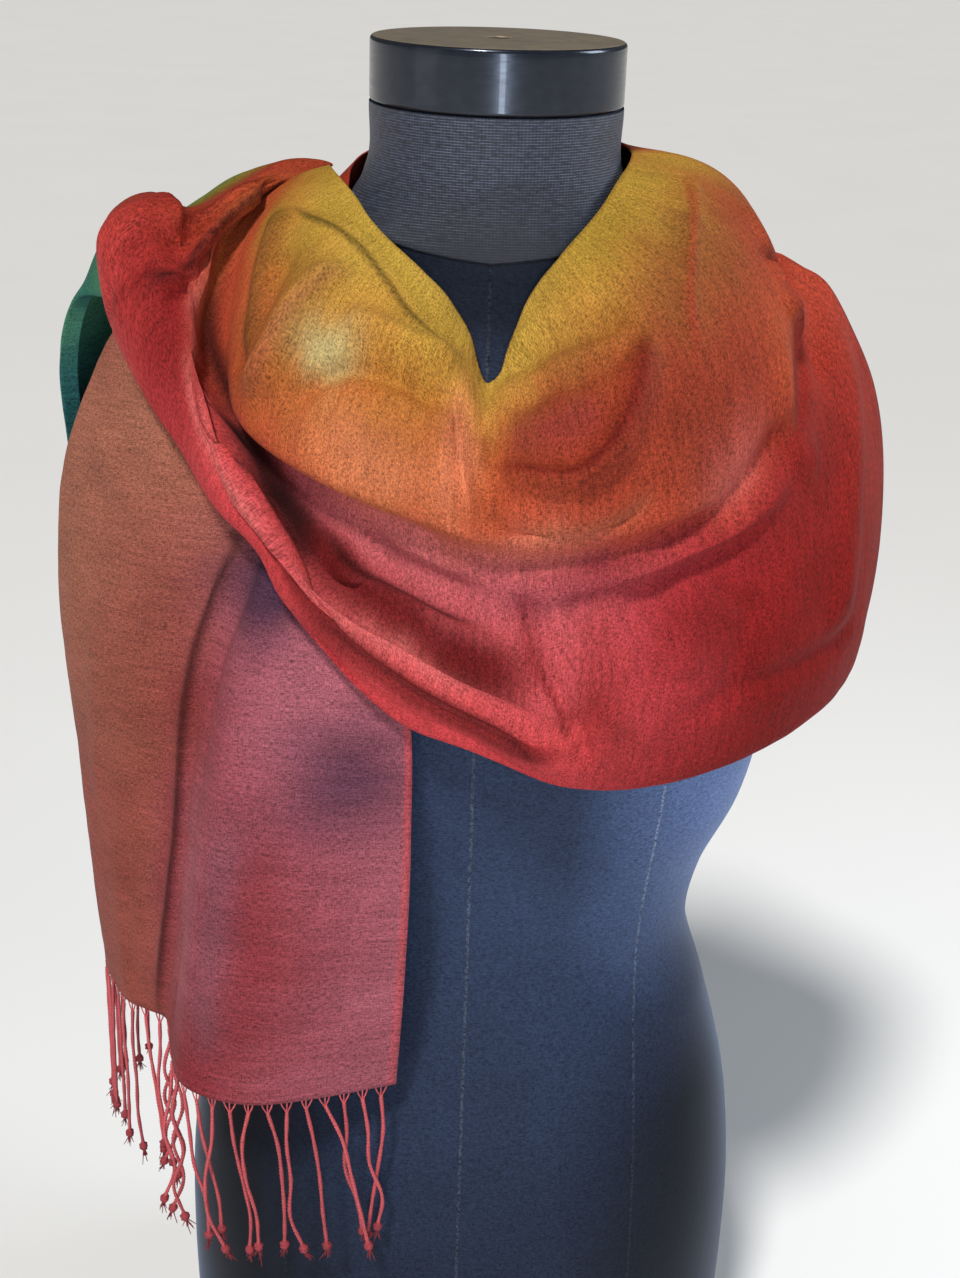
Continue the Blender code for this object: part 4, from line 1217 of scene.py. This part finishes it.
def tubeFaces(start, rings, sides):
    faces = []
    for i in range(rings - 1):
        for j in range(sides):
            a, b = start + i * sides + j, start + i * sides + (j + 1) % sides
            faces.append((a, b, b + sides, a + sides))
    faces.append(tuple(range(start + sides - 1, start - 1, -1)))
    faces.append(tuple(start + (rings - 1) * sides + j for j in range(sides)))
    return faces


def standingClear(path, tree, clearance):
    path = path.copy()
    for i, point in enumerate(path):
        place, normal, _, _ = tree.find_nearest(point, 0.03)
        if place is not None:
            path[i] += np.array(normal) * max(0.0, clearance - (Vector(point) - place).dot(normal))
    return path


def makeFringe(name, hem, sways, node, slot, colour, knotColour, seed):
    chance = np.random.default_rng(seed)
    length = np.concatenate([[0], np.cumsum(np.linalg.norm(np.diff(hem, axis=0), axis=1))])
    count = int(length[-1] / fringe["pitch"])
    margin = (length[-1] - (count - 1) * fringe["pitch"]) / 2
    points, faces, shades = [], [], []

    def hemAt(place):
        return np.array([np.interp(place, length, hem[:, i]) for i in range(3)])

    def add(path, radii, sides, share, lobes=0.0, spins=0.0):
        faces.extend(tubeFaces(sum(len(p) for p in points), len(path), sides))
        points.append(tubeOf(path, radii, sides, lobes, spins).reshape(-1, 3))
        tint = np.array(colour) * (1 - share[:, None]) + np.array(knotColour) * share[:, None]
        shades.append(np.repeat(tint * chance.uniform(*fringe["shades"]), sides, axis=0))

    for i in range(count):
        place = margin + i * fringe["pitch"]
        root, way = hemAt(place), hemAt(place + 0.002) - hemAt(place - 0.002)
        way /= np.linalg.norm(way)
        reach = chance.uniform(*fringe["length"])
        if i < len(sways):
            aside = np.array([[s * mm, 0, 0] for s in sways[i]])
        else:
            aside = np.cumsum(chance.uniform(-fringe["sway"], fringe["sway"], 5)) * mm
            aside = (aside - aside[0])[:, None] * way[None, :]
        joint = root - np.array([0, 0, fringe["joint"]])
        drop = np.array([[0, 0, -reach * s] for s in fringe["hang"]])
        path = curveThrough(joint + drop + aside, 34)
        path = standingClear(path, formTree, fringe["clearance"])
        share = np.linspace(0, 1, len(path))
        radii = fringe["radius"] * (1 + 0.10 * np.sin(share * 31 + i))
        add(path, radii, 6, 0.25 * share, 0.24, reach / fringe["twist"])
        for side in (-1, 0, 1):
            end = hemAt(place + side * fringe["roots"] * chance.uniform(0.6, 1.1)) + np.array([0, 0, 0.0006])
            middle = (end + joint) / 2 + way * side * 0.0006
            thread = curveThrough([end, middle, joint - np.array([0, 0, 0.001])], 5)
            add(thread, np.full(11, fringe["hairRadius"][0]), 4, np.zeros(11))
        tip, down = path[-1], path[-1] - path[-4]
        down /= np.linalg.norm(down)
        lump = np.linspace(*fringe["knotSpan"], 12)
        bulge = np.sin(np.linspace(0.25, 2.85, 12)) * (1 + 0.14 * np.sin(np.arange(12) * 2.1 + i))
        add(tip + lump[:, None] * down, fringe["radius"] * fringe["knot"] * bulge, 8, np.full(12, 0.8), 0.12, 1.3)
        for _ in range(fringe["hairs"]):
            spread = np.array([*chance.normal(0, fringe["hairSpread"], 2), 0])
            hair = chance.uniform(*fringe["hairLength"]) * np.linspace(0, 1, 5)[:, None]
            bent = tip + 0.003 * down + hair * (down + spread) + hair**2 * chance.normal(0, fringe["hairCurl"], 3)
            bent = standingClear(bent, formTree, fringe["hairClearance"])
            add(bent, np.linspace(*fringe["hairRadius"], 5), 3, np.full(5, 1.0))
    piece = addMesh(name, np.concatenate(points), faces, makeStrandMaterial(slot + "_twist"))
    setDye(piece, np.concatenate(shades))
    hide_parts(node)
    return piece


def makeStrandMaterial(name):
    material, tree, shader = nodesOf(name)
    where, _ = placeOn(tree)
    fibre = noiseNode(tree, where, (2600.0, 2600.0, 700.0), 3.0, 0.6)
    setSockets(tree, shader, {
        "Base Color": shadedBy(tree, dyeOf(tree), rangeNode(tree, fibre, 0.3, 0.7, 0.55, 1.45)),
        "Normal": bumpNode(tree, fibre, 0.4, 0.0003),
        "Roughness": 0.75,
        "Specular IOR Level": 0.3,
    })
    return material


tailHem = shapedGrids["front_tail"][0]
backHem = shapedGrids["back_tail"][-1, :-2 * across // 2]
tailFringe = makeFringe("tail_fringe", tailHem, frontSways, "front_fringe", "fringe_red",
                        (0.50, 0.085, 0.095), (0.20, 0.022, 0.030), 4)
backFringe = makeFringe("back_warp_ends", backHem, (), "back_fringe", "fringe_teal",
                        (0.020, 0.110, 0.095), (0.008, 0.040, 0.040), 9)
print("fringes made")


# floor, light and camera

def makeFloorMaterial():
    material, tree, shader = nodesOf("pale_floor")
    where, _ = placeOn(tree)
    pale = mixNode(tree, noiseNode(tree, where, 3.0), (0.80, 0.80, 0.80), (0.84, 0.84, 0.83))
    setSockets(tree, shader, {"Base Color": pale, "Roughness": 0.8})
    return material


def makeFloor(reach=80):
    corners = [(-reach, -reach, 0), (reach, -reach, 0), (reach, reach, 0), (-reach, reach, 0)]
    addMesh("studio_floor", corners, [(0, 1, 2, 3)], makeFloorMaterial(), body=None, smooth=False)


# name, place, what it looks at, size across and high, power, colour
lamps = (
    ("window", (1.00, 0.10, 1.15), (0, 0, 0.45), (0.4, 0.5), 7, (0.85, 0.92, 1.0)),
    ("strip", (0.14, -1.75, 0.55), (0, 0, 0.60), (0.16, 1.0), 9, (0.80, 0.90, 1.0)),
    ("fill", (-1.5, -0.7, 1.0), (0, 0, 0.5), (0.7, 1.2), 1, (1.0, 0.98, 0.95)),
)
sun = {"turn": -22, "height": 56, "strength": 3.0, "softness": 9, "colour": (1.0, 0.98, 0.95)}
ambient = {"colour": (0.95, 0.97, 1.0), "strength": 0.085}


def addLamp(name, kind, place, target):
    lamp = bpy.data.lights.new(name, kind)
    holder = bpy.data.objects.new(name, lamp)
    holder.location = place
    holder.rotation_euler = (Vector(target) - Vector(place)).to_track_quat("-Z", "Y").to_euler()
    bpy.context.scene.collection.objects.link(holder)
    return lamp


for name, place, target, size, power, colour in lamps:
    lamp = addLamp(name, "AREA", place, target)
    lamp.shape, lamp.size, lamp.size_y = "RECTANGLE", *size
    lamp.energy, lamp.color = power, colour
turned, raised = math.radians(sun["turn"]), math.radians(sun["height"])
high = (2 * math.sin(turned) * math.cos(raised), -2 * math.cos(turned) * math.cos(raised), 2 * math.sin(raised))
key = addLamp("key", "SUN", high, (0, 0, 0))
key.energy, key.angle, key.color = sun["strength"], math.radians(sun["softness"]), sun["colour"]

world = bpy.data.worlds.new("studio")
world.use_nodes = True
background = world.node_tree.nodes["Background"]
setSockets(world.node_tree, background, {"Color": ambient["colour"], "Strength": ambient["strength"]})
bpy.context.scene.world = world
makeFloor()

view = {"place": (0.001, -0.894, 0.872), "pitch": 23.1, "roll": 2.0, "focal": 1800 / 1278}
camera = bpy.data.objects.new("camera", bpy.data.cameras.new("camera"))
bpy.context.scene.collection.objects.link(camera)
camera.location = view["place"]
tilt = Euler((math.radians(90 - view["pitch"]), 0, 0)).to_matrix()
camera.rotation_euler = (tilt @ Matrix.Rotation(math.radians(view["roll"]), 3, "Z")).to_euler()
camera.data.sensor_width = 36
camera.data.lens = 36 * view["focal"]
bpy.context.scene.camera = camera
bpy.context.scene.view_settings.view_transform = "Standard"
print("studio set")
